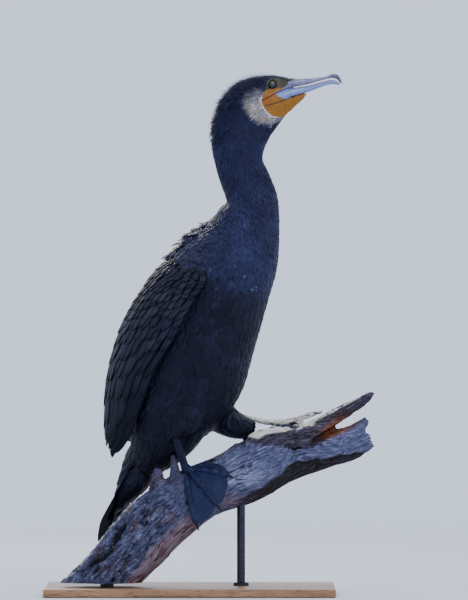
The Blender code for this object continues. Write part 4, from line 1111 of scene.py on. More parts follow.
def joined_mesh(name, places, template, centres, attributes):
    """One mesh of many like closed pieces: places is pieces x points x 3. Each piece has a small patch
    of the bake map, round its own centre there."""
    count, size = places.shape[:2]
    t, x, _, faces = template
    vane_uv = np.broadcast_to(np.stack([x * 0.5 + 0.5, t], -1)[None], (count, size, 2))
    patch = np.stack([x * 0.5, t - 0.5], -1) * PATCH
    bake_uv = np.clip(np.asarray(centres)[:, None, :] + patch[None], 0.0, 1.0)
    corners = np.concatenate([np.asarray(f) for f in faces])
    lengths = np.array([len(f) for f in faces])
    all_corners = (corners[None] + np.arange(count)[:, None] * size).ravel()
    starts = np.concatenate([[0], np.cumsum(np.tile(lengths, count))[:-1]])
    mesh = bpy.data.meshes.new(name)
    mesh.vertices.add(count * size)
    mesh.vertices.foreach_set("co", places.astype(np.float32).ravel())
    mesh.loops.add(len(all_corners))
    mesh.loops.foreach_set("vertex_index", all_corners.astype(np.int32))
    mesh.polygons.add(len(starts))
    mesh.polygons.foreach_set("loop_start", starts.astype(np.int32))
    mesh.update(calc_edges=True)
    form = bmesh.new()
    form.from_mesh(mesh)
    inside_out = form.calc_volume(signed=True) < 0
    form.free()
    for layer, coordinates in (("OFBake", bake_uv), ("Vane", vane_uv)):
        uv = mesh.uv_layers.new(name=layer)
        uv.data.foreach_set("uv", coordinates.reshape(-1, 2)[all_corners].astype(np.float32).ravel())
    made = new_object(name, mesh)
    mark(made, **{key: np.repeat(values, size) for key, values in attributes.items()})
    if inside_out:
        mesh.flip_normals()
    smooth(made, 60)
    return made


def lay_feathers(name, spots, template, widths, finish_of):
    """Feathers or tufts on the skin, each with its own root, lie, size and bend."""
    t, x, bulge, _ = template
    profile = np.interp(t, *np.array(widths).T)
    each = {key: values[:, None] for key, values in spots.items()}
    y = t * each["length"]
    aside = x * profile * each["width"] / 2
    rise = -ROOT_SINK + (each["lift"] + ROOT_SINK) * t**0.75
    rise = rise + bulge * VANE_ARCH * each["width"] * np.minimum(1.0, profile)
    rise = rise - 0.5 * each["bend"] * y**2 - 0.5 * each["bow"] * aside**2
    rise = rise + each["roll"] * aside + each["curl"] * y * t
    aside = aside + each["sway"] * y * t
    places = each["place"] + y[..., None] * each["lie"]
    places = places + aside[..., None] * each["side"] + rise[..., None] * each["normal"]
    attributes = {key: spots[key] for key in ("tone", "white", "bronze", "painted_sheen")}
    return dress(joined_mesh(name, places, template, spots["uv"], attributes), finish_of, "plumage")


class Surface:
    """A skin to plant feathers on: its triangles, its smooth normals and what is nearest to a point."""

    def __init__(self, target):
        mesh = target.data
        mesh.calc_loop_triangles()
        corners = np.empty(len(mesh.loop_triangles) * 3, int)
        mesh.loop_triangles.foreach_get("vertices", corners)
        self.triangles = corners.reshape(-1, 3)
        self.points = points_of(target)
        self.normals = normals_of(target)
        a, b, c = (self.points[self.triangles[:, i]] for i in range(3))
        self.areas = np.linalg.norm(np.cross(b - a, c - a), axis=1) / 2
        self.middles = (a + b + c) / 3
        self.tree = BVHTree.FromPolygons([tuple(p) for p in self.points], self.triangles.tolist())

    def sample(self, weights, count):
        """Random places on the surface, and the normals there."""
        chance = self.areas * weights
        chosen = DRAW.choice(len(chance), count, p=chance / chance.sum())
        u, v = DRAW.random(count), DRAW.random(count)
        over = u + v > 1
        u[over], v[over] = 1 - u[over], 1 - v[over]
        shares = np.stack([1 - u - v, u, v], -1)[..., None]
        corners = self.triangles[chosen]
        return (self.points[corners] * shares).sum(1), unit((self.normals[corners] * shares).sum(1))

    def nearest(self, places):
        return np.array([self.tree.find_nearest(Vector(p))[0] for p in places])


def thin_out(places, spacing):
    """Which of the places to keep, so that each lies its own spacing from those kept before it."""
    keys = np.floor(places / float(spacing.max())).astype(int)
    grid, kept = {}, []
    around = list(product((-1, 0, 1), repeat=3))
    for n, (key, place, apart) in enumerate(zip(keys.tolist(), places.tolist(), spacing.tolist())):
        x, y, z = place
        near = (other for i, j, k in around for other in grid.get((key[0] + i, key[1] + j, key[2] + k), ()))
        if all((a - x) ** 2 + (b - y) ** 2 + (c - z) ** 2 >= apart * apart for a, b, c in near):
            grid.setdefault(tuple(key), []).append(place)
            kept.append(n)
    return np.array(kept, int)


# The coat of the body: place along the spine in metres, then spacing, length and width in millimetres.
COAT = np.array((
    (0.12, 4.4, 26.0, 9.5),
    (0.20, 4.4, 26.0, 9.5),
    (0.36, 4.3, 24.0, 9.5),
    (0.45, 3.8, 19.0, 8.5),
    (0.52, 3.0, 14.0, 6.0),
    (0.58, 2.2, 11.0, 3.2),
    (0.64, 1.8, 8.5, 2.3),
    (0.70, 1.5, 6.0, 1.6),
    (0.75, 1.25, 4.0, 1.2),
))
COAT_LIFT = ((0.12, 2.6), (0.45, 2.6), (0.56, 2.0), (0.70, 1.4), (0.75, 0.8))  # millimetres at the tips
SEEDS = 170000  # how many places are tried for a feather
MANTLE_SPAN = (0.34, 0.40, 0.47, 0.515)  # metres along the spine: starts, full, last full, ends
STANDING_SPAN = (0.405, 0.43, 0.49, 0.515)
# Painted glints: where along the spine, in metres, a few feather tips get a pale colour for glints of
# light.
PAINTED_GLINT_SPAN = (0.425, 0.445, 0.475, 0.495)
RUFFLE_HEIGHT = 4.5 * MM
WISP_HEIGHT = 8.0 * MM
STANDING_SHARE, STANDING_HEIGHTS = 0.30, (3, 10)  # millimetres
# The share of feathers there that get painted glints.
PAINTED_GLINT_SHARE = 0.045
TUFTS_FROM = 0.565  # metres along the spine where feathers give way to fine tufts
BAKE_TRUNK = 0.60  # share of the bake map's width that the trunk and head take


def wing_base(side, share, across):
    """The outer face of a folded wing, as in the solids, at many places at once."""
    share, across = np.broadcast_arrays(np.asarray(share, float), np.asarray(across, float))
    edges = on_curve(WING_KNOTS, WING, share)
    rear, front = edges[..., 0, :], edges[..., 1, :]
    turn = across * math.pi / 2
    forward = front[..., 0] + (rear[..., 0] - front[..., 0]) * np.sin(turn)
    out = (rear[..., 1] + (front[..., 1] - rear[..., 1]) * np.cos(turn)) * side
    up = front[..., 2] + (rear[..., 2] - front[..., 2]) * across
    yaw = math.radians(BODY_YAW)
    x = forward * math.cos(yaw) + out * math.sin(yaw)
    y = -forward * math.sin(yaw) + out * math.cos(yaw)
    return np.stack([x, y, up], -1)


def wing_point(side, share, across, lift):
    """Places over the outer face of a folded wing."""
    share, across = np.broadcast_arrays(np.asarray(share, float), np.asarray(across, float))
    step = 0.004
    down = wing_base(side, share + step, across) - wing_base(side, share - step, across)
    round_it = wing_base(side, share, across + step) - wing_base(side, share, across - step)
    normal = unit(np.cross(down, round_it) * side)
    return wing_base(side, share, across) + normal * np.asarray(lift)[..., None]


def wing_grid(start, rows, columns):
    """Shares of a wing, down it and across it, at many places."""
    return np.meshgrid(np.linspace(start, 0.93, rows), np.linspace(0.04, 0.96, columns), indexing="ij")


def wing_tree():
    """The outer faces of both wings, to find what lies under them."""
    points, faces = [], []
    rows, columns = 30, 16
    grid = wing_grid(0.0, rows, columns)
    for side in (-1, 1):
        first = len(points)
        points += [tuple(p) for p in wing_base(side, *grid).reshape(-1, 3)]
        faces += grid_faces(rows, columns, first)
    return BVHTree.FromPolygons(points, faces)


def hidden(tree, places, normals):
    """Which places lie close under the faces of a tree."""
    hits = [tree.ray_cast(Vector(p), Vector(n), 0.06)[0] for p, n in zip(places, normals)]
    return np.array([hit is not None for hit in hits], bool)


def thigh_lie(places):
    """How near each place is to a thigh, which one, and the way down it."""
    share = np.zeros(len(places))
    lie = np.zeros_like(places)
    where = np.zeros((len(places), 2))
    for i, line in enumerate(THIGH_LINES.values()):
        rows = np.array(line, float) * MM
        for a, b in zip(rows[1:-1], rows[2:]):
            way = b[:3] - a[:3]
            t = np.clip((places - a[:3]) @ way / (way @ way), 0, 1)
            away = places - a[:3] - t[:, None] * way
            out = np.linalg.norm(away, axis=1) / (a[3] + t * (b[3] - a[3]))
            near = step_down(out, 1.02, 1.22) * step_down(places[:, 2], 0.250, 0.268)
            closer = near > share
            share = np.where(closer, near, share)
            lie[closer] = unit(way)
            turn = np.arctan2(away[closer, 1], away[closer, 0]) / (2 * math.pi) + 0.5
            where[closer, 0] = 0.64 + 0.10 * i + 0.08 * turn
            where[closer, 1] = (0.27 - places[closer, 2]) * 4
    return share, lie, where


def coat_size(along, column):
    """Spacing, length or width of the feathers, by their column of the table."""
    return np.interp(along, COAT[:, 0], COAT[:, column]) * MM


def plant(surface, tree):
    """Where the feathers of the body and head grow, and all their sizes."""
    covered = bareness(surface.middles) < 0.5
    chance = covered / coat_size(lie_of(surface.middles)[0], 1) ** 2
    places, normals = surface.sample(chance, SEEDS)
    keep = bareness(places) < -0.3
    places, normals = places[keep], normals[keep]
    along, angle, lie = lie_of(places)
    on_thigh, down, thigh_uv = thigh_lie(places)
    near_face = step_up(bareness(places), -9, 0)
    kept = thin_out(places, coat_size(along, 1) * (1 - 0.35 * on_thigh) * (1 - 0.15 * near_face))
    places, normals, along, angle, lie = (v[kept] for v in (places, normals, along, angle, lie))
    on_thigh, down, thigh_uv, near_face = (v[kept] for v in (on_thigh, down, thigh_uv, near_face))
    count = len(places)

    # The way that each feather lies.
    swirl = noise_at(places, 28 * MM, 1.0)
    lie = unit(lie) * (1 - on_thigh[:, None]) + down * on_thigh[:, None]
    steep = np.abs((lie * normals).sum(1)) > 0.40
    lie = unit(lie - normals * (lie * normals).sum(1)[:, None])
    side = np.cross(normals, lie)
    turn = 0.16 * swirl + DRAW.normal(0, 0.075, count)
    lie, side = (
        lie * np.cos(turn)[:, None] + side * np.sin(turn)[:, None],
        side * np.cos(turn)[:, None] - lie * np.sin(turn)[:, None],
    )

    # Its size. The broad, bronze feathers of the mantle lie high on the back.
    length = coat_size(along, 2) * DRAW.normal(1.0, 0.09, count).clip(0.75, 1.3)
    width = coat_size(along, 3) * DRAW.normal(1.0, 0.08, count).clip(0.8, 1.25)
    mantle = band(along, *MANTLE_SPAN) * step_down(np.abs(angle), 70, 100)
    length *= (1 - 0.45 * on_thigh) * (1 - 0.25 * near_face) * (1 + 0.15 * mantle)
    width *= (1 - 0.35 * on_thigh) * (1 - 0.15 * near_face) * (1 + 0.75 * mantle)

    # Feathers whose root and tip lie under a wing are left out, and so is the deep end of the tail.
    over = hidden(tree, places, normals)
    over &= hidden(tree, places + lie * (length * 0.9)[:, None] - normals * 0.004, normals)
    over |= steep & (along < 0.15) & (on_thigh < 0.5)

    # Each bends with the skin below it, lengthwise and across.
    ends = surface.nearest(places + lie * length[:, None])
    drop = ((ends - places) * normals).sum(1)
    bend = np.clip(-2 * drop / length**2, -12, 45)
    half = np.maximum(width / 2, 2 * MM)
    sides = surface.nearest(places + side * half[:, None])
    bow = np.clip(-2 * ((sides - places) * normals).sum(1) / half**2, -5, 60)

    # Some stand up: ruffled patches of the mantle, wisps of the nape, and odd ones over the shoulders.
    ruffle = np.clip(noise_at(places, 24 * MM, 5.0) - 0.15, 0, 1) * mantle
    nape = step_up(along, 0.62, 0.66) * step_down(np.abs(angle), 40, 75) * (1 - near_face)
    lift = np.interp(along, *np.array(COAT_LIFT).T) * MM
    lift = lift * DRAW.uniform(0.8, 1.2, count) * (1 - 0.3 * on_thigh) + RUFFLE_HEIGHT * ruffle
    lift += WISP_HEIGHT * nape * DRAW.random(count) ** 2.5
    stands = band(along, *STANDING_SPAN) * step_down(np.abs(angle), 25, 45)
    stands = stands * (DRAW.random(count) < STANDING_SHARE)
    lift += stands * DRAW.uniform(*STANDING_HEIGHTS, count) * MM
    # Painted glints: a few feathers of the breast and shoulders get a pale tip colour for glints of light.
    shine = band(along, *PAINTED_GLINT_SPAN) * 0.75 * (DRAW.random(count) < PAINTED_GLINT_SHARE)
    bronze = mantle * DRAW.uniform(0.55, 1.0, count)

    uv = np.stack([(angle + 180) / 360 * BAKE_TRUNK, np.clip(along / 0.82, 0, 1)], -1)
    uv = np.where(on_thigh[:, None] > 0.5, thigh_uv, uv)
    patches = noise_at(places, 30 * MM, 2.0)
    # Painted sheen: the neck and upper breast get a blue colour for their sheen, and the belly stays dull
    # black.
    painted_sheen_share = step_up(along, 0.425, 0.475)
    spots = {
        "place": places, "normal": normals, "lie": lie, "side": side, "length": length, "width": width,
        "lift": lift, "bend": bend, "bow": bow, "uv": uv, "along": along, "mantle": mantle,
        "roll": DRAW.normal(0, 0.09, count), "curl": 0.10 * ruffle, "sway": DRAW.normal(0, 0.07, count),
        "tone": np.clip(0.5 + 0.35 * patches + DRAW.normal(0, 0.14, count), 0, 1),
        "painted_sheen": np.clip(0.12 + 0.88 * painted_sheen_share + DRAW.normal(0, 0.08, count), 0, 1) + shine,
        "white": whiteness(places) * DRAW.uniform(0.85, 1.15, count).clip(0, 1), "bronze": bronze,
    }
    return {key: value[~over] for key, value in spots.items()}


def chosen(spots, test):
    return {key: value[test] for key, value in spots.items()}


def in_pieces(spots, most):
    """Parts of the coat in order along the body, each of no more than so many feathers."""
    order = np.argsort(spots["along"])
    parts = max(1, math.ceil(len(order) / most))
    return [chosen(spots, np.sort(part)) for part in np.array_split(order, parts)]


def make_coat(skin, tree, contour):
    """The feathers and tufts of the head, neck, body and thighs."""
    spots = plant(Surface(skin), tree)
    fine = spots["along"] > TUFTS_FROM + 0.012 * DRAW.normal(0, 1, len(spots["along"]))
    broad = spots["mantle"] > 0.35
    kinds = (
        # name, which feathers, their template and widths, and the most of them in one piece
        ("coat_mantle", broad & ~fine, MANTLE, CONTOUR_WIDTHS, 1500),
        ("coat_body", ~broad & ~fine, CONTOUR, CONTOUR_WIDTHS, 4000),
        ("coat_tufts", fine, TUFT, TUFT_WIDTHS, 11000),
    )
    for name, test, template, widths, most in kinds:
        for i, part in enumerate(in_pieces(chosen(spots, test), most)):
            lay_feathers(f"{name}_{i + 1}", part, template, widths, contour)


# The wings. Each tier: share of the wing where its roots lie, share that its feathers are long, their
# number, half width in millimetres, how far their tips stand up, and how bronze they are.
WING_TIERS = (
    (0.650, 0.350, 6, 6.5, 1.4, 0.15),
    (0.585, 0.365, 7, 7.5, 1.9, 0.25),
    (0.515, 0.350, 9, 8.0, 2.3, 0.4),
    (0.450, 0.300, 11, 7.8, 2.6, 0.6),
    (0.395, 0.240, 13, 7.6, 2.7, 0.8),
    (0.345, 0.200, 14, 7.4, 2.7, 1.0),
    (0.300, 0.165, 15, 7.2, 2.6, 1.0),
    (0.260, 0.140, 15, 7.0, 2.6, 1.0),
    (0.222, 0.125, 15, 6.8, 2.5, 1.0),
    (0.187, 0.112, 15, 6.7, 2.4, 1.0),
    (0.153, 0.103, 15, 6.5, 2.4, 1.0),
    (0.120, 0.095, 14, 6.4, 2.3, 1.0),
    (0.088, 0.088, 13, 6.2, 2.1, 1.0),
    (0.058, 0.082, 12, 6.0, 2.0, 0.9),
    (0.030, 0.076, 11, 5.6, 1.8, 0.7),
    (0.004, 0.070, 9, 5.2, 1.5, 0.5),
    (-0.020, 0.065, 8, 5.0, 1.2, 0.4),
)
WING_JITTER = 0.006  # how far the roots stray, as a share of the wing
WING_SINK = 1.2 * MM  # how deep the roots lie in the core
CORE_DROP = 1.3 * MM  # how far the core lies under the wing's outer face
# How thick the wing's core is: share of the wing, then millimetres at its middle and at its edges.
WING_THICKNESS = (
    (0.00, 2.0, 2.0), (0.10, 14.0, 8.0), (0.60, 16.0, 9.0), (0.78, 9.0, 4.0), (1.00, 2.2, 1.8),
)
FLIGHT = vane_template(
    (0.0, 0.12, 0.26, 0.40, 0.54, 0.67, 0.78, 0.87, 0.94, 0.98, 1.0),
    (-1.0, -0.8, -0.5, -0.18, 0.0, 0.18, 0.5, 0.8, 1.0),
    0.13,
)
FLIGHT_WIDTHS = ((0.0, 0.55), (0.3, 0.85), (0.6, 1.0), (0.8, 0.98), (0.92, 0.80), (0.98, 0.52), (1.0, 0.30))
LONG_WIDTHS = ((0.0, 0.55), (0.3, 0.9), (0.7, 1.0), (0.92, 0.90), (0.98, 0.62), (1.0, 0.35))


def make_wing_core(side, name, finish_of):
    """What the wing's feathers lie on, from its outer face down to the body."""
    grid = wing_grid(0.05, 40, 24)
    share, middle, edges = np.array(WING_THICKNESS).T
    thick = np.interp(grid[0], share, edges)
    thick = thick + (np.interp(grid[0], share, middle) - thick) * np.sin(math.pi * grid[1])
    outer = wing_point(side, *grid, np.full(grid[0].shape, -CORE_DROP))
    core = shell(name, outer, wing_point(side, *grid, -thick * MM))
    uv = core.data.uv_layers.new(name="Vane")
    uv.data.foreach_set("uv", np.tile((0.9, 0.5), len(core.data.loops)).astype(np.float32))
    zeros = np.zeros(len(core.data.vertices))
    mark(core, tone=zeros + 0.1, bronze=zeros, white=zeros)
    smooth(core, 50)
    return dress(core, finish_of, "wing", "wing_left" if side > 0 else "wing_right")


def make_wing_feathers(side, name, finish_of):
    """All the feathers of one folded wing as one mesh."""
    t, x, bulge, _ = FLIGHT
    places, centres, tones, bronzes = [], [], [], []
    for tier, (root, long, count, half, rise, bronze) in enumerate(WING_TIERS):
        profile = np.interp(t, *np.array(LONG_WIDTHS if tier < 3 else FLIGHT_WIDTHS).T)
        for i in range(count):
            stagger = 0.5 * (tier % 2) / count
            across = 0.035 + 0.93 * (i + 0.25 + stagger) / (count - 0.5)
            across += DRAW.normal(0, WING_JITTER)
            start = root + DRAW.normal(0, WING_JITTER) - 0.012 * math.sin(math.pi * across)
            length = long * DRAW.uniform(0.92, 1.08)
            if tier < 2:
                length = min(length, 1.0 - start - 0.028 * abs(i - 1.2))
            wide = half * MM * DRAW.uniform(0.93, 1.10)
            share = start + length * t
            span = 1.15 * np.linalg.norm(wing_base(side, share, 0.0) - wing_base(side, share, 1.0), axis=-1)
            at = across + 0.10 * length * t + x * profile * wide / np.maximum(span, 0.02)
            at = at + DRAW.normal(0, 0.012) * t * t
            overshoot = 0.035 * DRAW.uniform(0.3, 1.0)
            at = np.clip(at, -overshoot, 1 + overshoot)
            tip = rise * DRAW.uniform(0.8, 1.25) * MM
            lift = -WING_SINK + (tip + WING_SINK) * t**0.75
            lift = lift + 0.10 * bulge * wide * np.minimum(1.0, profile)
            lift = lift - x * profile * (0.5 + 0.35 * DRAW.random()) * MM * t
            places.append(wing_point(side, share, at, lift))
            centres.append((0.64 + (0.18 if side > 0 else 0.0) + 0.15 * across, 0.30 + 0.65 * start))
            tones.append(np.clip(DRAW.normal(0.5, 0.2), 0, 1))
            bronzes.append(bronze * np.clip(DRAW.uniform(0.8, 1.15), 0, 1))
    attributes = {"tone": tones, "bronze": bronzes}
    return dress(joined_mesh(name, np.array(places), FLIGHT, centres, attributes), finish_of, "wing")


# The tail.
TAIL_VANES = 14
TAIL_START = 0.06  # share of the tail where its feathers start
TAIL_SPREAD = 2.25  # degrees from one feather to the next
TAIL_GRADE = 0.030  # how much shorter each is than the one nearer to the middle
TAIL_HALF_WIDTH = 8.2 * MM
TAIL_STEP = 1.0 * MM  # how far each lies under the one nearer to the middle
TAIL_WIDTHS = ((0.0, 0.35), (0.25, 0.7), (0.7, 1.0), (0.9, 0.92), (0.97, 0.66), (1.0, 0.40))


def make_tail(finish_of):
    """Fourteen stiff feathers in a fan, worn at their tips, the middle ones on top."""
    t, x, bulge, _ = FLIGHT
    profile = np.interp(t, *np.array(TAIL_WIDTHS).T)
    places, centres = [], []
    for i in range(TAIL_VANES):
        place = i - (TAIL_VANES - 1) / 2
        rank = abs(place) - 0.5
        reach = 1.0 - TAIL_GRADE * rank + DRAW.normal(0, 0.008)
        drop = rank * TAIL_STEP + (0.4 * TAIL_STEP if place < 0 else 0.0)
        share = TAIL_START + (reach - TAIL_START) * t
        aside = x * profile * TAIL_HALF_WIDTH / (TAIL_APEX + share * TAIL_LENGTH)
        angle = place * TAIL_SPREAD + np.degrees(aside)
        lift = 0.9 * MM * bulge * profile - drop + 0.4 * MM * x * np.sign(place)
        places.append(tail_points(share, angle, lift))
        centres.append((0.66 + 0.022 * i, 0.22))
    attributes = {"tone": DRAW.uniform(0.2, 0.8, TAIL_VANES), "bronze": DRAW.uniform(0.0, 0.15, TAIL_VANES)}
    tail = joined_mesh("tail_feathers", np.array(places), FLIGHT, centres, attributes)
    return dress(tail, finish_of, "wing", "tail")


# The bill.
BILL_SIDES = 36
BILL_RINGS = 74
BILL_REAR = head_point(0.5, -16.2), head_point(9.8, -25.5)  # the slanted rear end of the lower horn
BILL_SQUARENESS = 2 / 2.3  # the power that makes its rounds a little square
BILL_GROOVE = (2.05, 0.14, 0.75)  # radians round from below, width in radians, depth in millimetres
BILL_RIDGE = (0.30, 0.35)  # width in radians, height in millimetres


def bill_form(name, stations, upper, finish_of):
    """Half of the bill as a fine loft, with its ridge, its groove, and painted light: a pale line along its
    cutting edge for the bright light seen between the halves.
    """
    rows = np.array(stations)
    knots = distances(rows)
    turns = full_turn(BILL_SIDES)
    ring_high, ring_wide = square_ring(BILL_SIDES, BILL_SQUARENESS)
    rings = []
    for forward, top, bottom, half in on_curve(knots, rows, np.linspace(0, knots[-1], BILL_RINGS)):
        middle, high = (top + bottom) / 2, (top - bottom) / 2
        proud = 0.35 * step_down(forward, 0, 40)
        up = middle + (high + proud) * ring_high
        across = (max(half, 0.8) + proud) * ring_wide
        if upper:
            fade = step_down(forward, 40, 86)
            at, wide, deep = BILL_GROOVE
            across -= np.sign(across) * deep * bell(np.abs(turns - math.pi) - at, wide) * fade
            wide, tall = BILL_RIDGE
            up = up + tall * bell(np.minimum(turns, 2 * math.pi - turns), wide) * fade
        rings.append(head_point(forward, up, across))
    bill = loft(name, rings)
    if not upper:
        slant = np.cross(SIDEWAYS, BILL_REAR[1] - BILL_REAR[0])
        cut_off(bill, BILL_REAR[0], slant)
    forward, up, _ = in_head(points_of(bill))
    middle = np.interp(forward, rows[:, 0], (rows[:, 1] + rows[:, 2]) / 2)
    high = np.interp(forward, rows[:, 0], (rows[:, 1] - rows[:, 2]) / 2)
    level = (up - middle) / high
    # Painted light: a pale line along the cutting edge stands in for the bright light seen between the two
    # halves of the bill.
    rim = step_up(-level if upper else level, 0.74, 0.92) * step_down(forward, 80, 88)
    if upper:
        rear = step_down(forward, 22, 40)
        ridge = step_up(level, 0.40 - 0.45 * rear, 0.95 - 0.45 * rear)
        brow = step_up(level - 0.25 - 0.05 * (forward - 22), 0.0, 0.15) * step_down(forward, 33, 37)
    else:
        ridge, brow = 0.6 * step_down(level, -1.0, -0.75), np.zeros_like(forward)
    hook = step_up(forward, 80, 92) * (1.0 if upper else 0.55)
    mark(bill, rim=rim, brow=brow, ridge=np.clip(ridge + 0.8 * hook, 0, 1))
    smooth(bill, 60)
    return dress(bill, finish_of, "bill", name)


def eye_turn(side):
    """An eye's frame, as in the solids: its Z runs out of the head, a little forwards and up."""
    forwards, up = EYE_OUTLOOK
    return Vector((forwards, side, up)).normalized().to_track_quat("Z", "Y").to_matrix().to_4x4()


def make_eye(side, name, finish_of):
    """A glass eye: a ball that bulges a little at its cornea."""
    bpy.ops.mesh.primitive_uv_sphere_add(segments=48, ring_count=32, radius=1.0)
    eye = bpy.context.object
    eye.name = eye.data.name = name
    places = points_of(eye)
    out = np.hypot(places[:, 0], places[:, 1])
    mark(eye, from_pupil=np.where(places[:, 2] > 0, out, 1.0))
    cornea = 1.0 + CORNEA_BULGE * step_up(places[:, 2], 0.35, 1.0)
    set_points(eye, places * cornea[:, None] * EYE_RADIUS)
    place = Vector(head_point(*EYE_SHIFT, side * (EYE_APART / MM + EYE_FORTH)))
    eye.data.transform(Matrix.Translation(place) @ eye_turn(side))
    smooth(eye)
    return dress(eye, finish_of, "eye", name)


# The feet.
WEB_HALF = 1.2 * MM
FOOT_CLEARANCE = 0.5 * MM
FOOT_START = 4.0 * MM
FOOT_VOXEL = 0.6 * MM
TOE_WIDTH = 4.6 * MM
TOE_FILLS = 0.36  # the most that half a toe takes of the gap to the next one
TOE_HEIGHT, TOE_TAPER = 6.6, 2.8  # millimetres at its root, and what it loses on the way to its tip
TOE_SWELLING = 0.16  # how much its joints swell
SCUTE_LENGTH, SCUTE_HEIGHT = 2.3 * MM, 0.22 * MM
# Creases of a web: share of its thickness, then waves in radians along it and across it.
WEB_CREASES = ((0.35, 34, 5), (0.5, 13, -3))
JOINT_HEIGHT = 7.0 * MM
KNUCKLE_RADII = (5.8 * MM, 7.4 * MM, 6.0 * MM, 2.5 * MM)
# Along a claw, in millimetres: how far out from the tip of its toe, how high, and its radius.
CLAW_STEPS = (
    (-5.0, 2.0, 2.0), (-1.0, 3.4, 2.1), (2.5, 4.2, 1.8), (5.5, 3.6, 1.3), (7.6, 2.2, 0.8), (8.6, 0.7, 0.2),
)


def perch_point(along, angle, lift=0.0):
    """Points on the perch, as in the solids. The angle is 0 on top and 90 degrees towards -Y."""
    along, angle = np.broadcast_arrays(np.asarray(along, float), np.asarray(angle, float))
    here = on_curve(PERCH_KNOTS, PERCH, along)
    ahead = on_curve(PERCH_KNOTS, PERCH, along + MM) - on_curve(PERCH_KNOTS, PERCH, along - MM)
    ahead = unit(ahead[..., :3])
    up = unit(UPWARDS - ahead * ahead[..., 2:3])
    across = np.cross(up, ahead)
    turn = np.radians(angle)
    wind = 5.0 * along
    ridges = 0.045 * np.cos(3 * turn + wind) + 0.03 * np.cos(5 * turn - 2 * wind)
    swelling = 0.03 * np.sin(38 * along + 1.0) + 0.02 * np.sin(2 * turn + 61 * along)
    reach = (here[..., 3] * (1.0 + ridges + swelling) + lift)[..., None]
    return here[..., :3] + (up * np.cos(turn)[..., None] - across * np.sin(turn)[..., None]) * reach


def foot_points(side, direction, reach, lift):
    """Points of a foot, draped over the perch, at directions in degrees and distances from its joint.
    Past the limit the foot hangs straight down."""
    station, along, around = FOOT_JOINTS[side]
    direction, reach, lift = np.broadcast_arrays(direction, reach, lift)
    turn = np.radians(direction)
    place = PERCH_PLACES[station] + along * MM + reach * np.cos(turn)
    angle = np.degrees((around * MM + reach * np.sin(turn)) / DRAPE_RADIUS)
    kept = np.clip(angle, -DRAPE_LIMIT, DRAPE_LIMIT)
    top = perch_point(place, kept, lift)
    step = perch_point(place, kept + np.sign(angle) * 0.5, lift) - top
    return top + unit(step) * (np.radians(np.abs(angle - kept)) * DRAPE_RADIUS)[..., None]


def foot_lanes(side):
    """Lines from the joint out over the foot: the number of the toe, and how far the line lies across
    this toe from -1 to 1, or else across the web beyond it from 0 to 1."""
    lanes = []
    for i in range(len(TOES[side])):
        lanes += [(i, part, None) for part in np.linspace(-1, 1, 9)]
        lanes += [(i, None, part) for part in np.linspace(0, 1, 13)[1:-1]]
    return lanes[:-11]


def make_foot(side, finish_of):
    """A webbed foot: scaled toes with swollen joints, thin creased webs, and a pad under each joint."""
    toes = TOES[side]
    turns = np.array([toe[0] for toe in toes])
    order = math.copysign(1.0, turns[-1] - turns[0])
    shares = np.linspace(0, 1, 64)
    upper, lower = [], []
    for i, part, between in foot_lanes(side):
        turn, length = toes[i]
        if between is None:
            reach = FOOT_START + (length * MM - FOOT_START) * shares * (1 - 0.03 * part * part)
            gap = min(abs(t - turn) for t in turns if t != turn)
            joints = np.sin(shares * math.pi * (3 + i) * 2 - 0.6) * step_up(shares, 0.12, 0.3)
            bumps = 1.0 + TOE_SWELLING * joints
            half = np.minimum(np.degrees(TOE_WIDTH * bumps / reach), TOE_FILLS * gap)
            direction = turn + order * part * half
            round_it = math.sqrt(max(0.0, 1 - part * part))
            height = (TOE_HEIGHT - TOE_TAPER * shares) * bumps * MM
            worn_tip = 1 - 0.25 * step_up(shares, 0.92, 1.0)
            lift = WEB_HALF + (height - WEB_HALF) * (0.10 + 0.90 * round_it) * worn_tip
            lift = lift + SCUTE_HEIGHT * np.abs(np.sin(reach / SCUTE_LENGTH * math.pi)) * round_it
        else:
            next_turn, next_length = toes[i + 1]
            sag = 4 * between * (1 - between)
            edge = length + (next_length - length) * between
            reach = FOOT_START + (edge * MM - FOOT_START) * shares
            gap = abs(next_turn - turn)
            half = np.minimum(np.degrees(TOE_WIDTH / reach), TOE_FILLS * gap)
            first, last = turn + order * half, next_turn - order * half
            direction = first + (last - first) * between
            creases = sum(part * np.sin(shares * out + aside * between) for part, out, aside in WEB_CREASES)
            lift = WEB_HALF * (1.0 + 0.45 * sag * creases)
        upper.append(foot_points(side, direction, reach, FOOT_CLEARANCE + lift))
        lower.append(foot_points(side, direction, reach, np.full(len(shares), FOOT_CLEARANCE)))
    foot = shell(f"foot_{side}", np.swapaxes(upper, 0, 1), np.swapaxes(lower, 0, 1))
    joint = foot_points(side, 0.0, 0.0, JOINT_HEIGHT)
    ankle = np.array(ANKLES[side]) * MM
    toes_way = foot_points(side, float(turns[1:3].mean()), 14 * MM, 4 * MM)
    line = [joint + (ankle - joint) * 0.12, joint, joint + (toes_way - joint) * 0.55, toes_way]
    join([foot, tube("knuckle", line, KNUCKLE_RADII, 20)])
    apply_modifier(foot, "REMESH", mode="VOXEL", voxel_size=FOOT_VOXEL)
    relax(foot, np.full(len(foot.data.vertices), 0.5), 3)
    places, ways = points_of(foot), normals_of(foot)
    set_points(foot, places + ways * (0.09 * MM * noise_at(places, 2.2 * MM, 1.0, 2))[:, None])
    mark(foot, web=np.ones(len(places)))
    smooth(foot)
    return dress(foot, finish_of, "foot", f"foot_{side}")


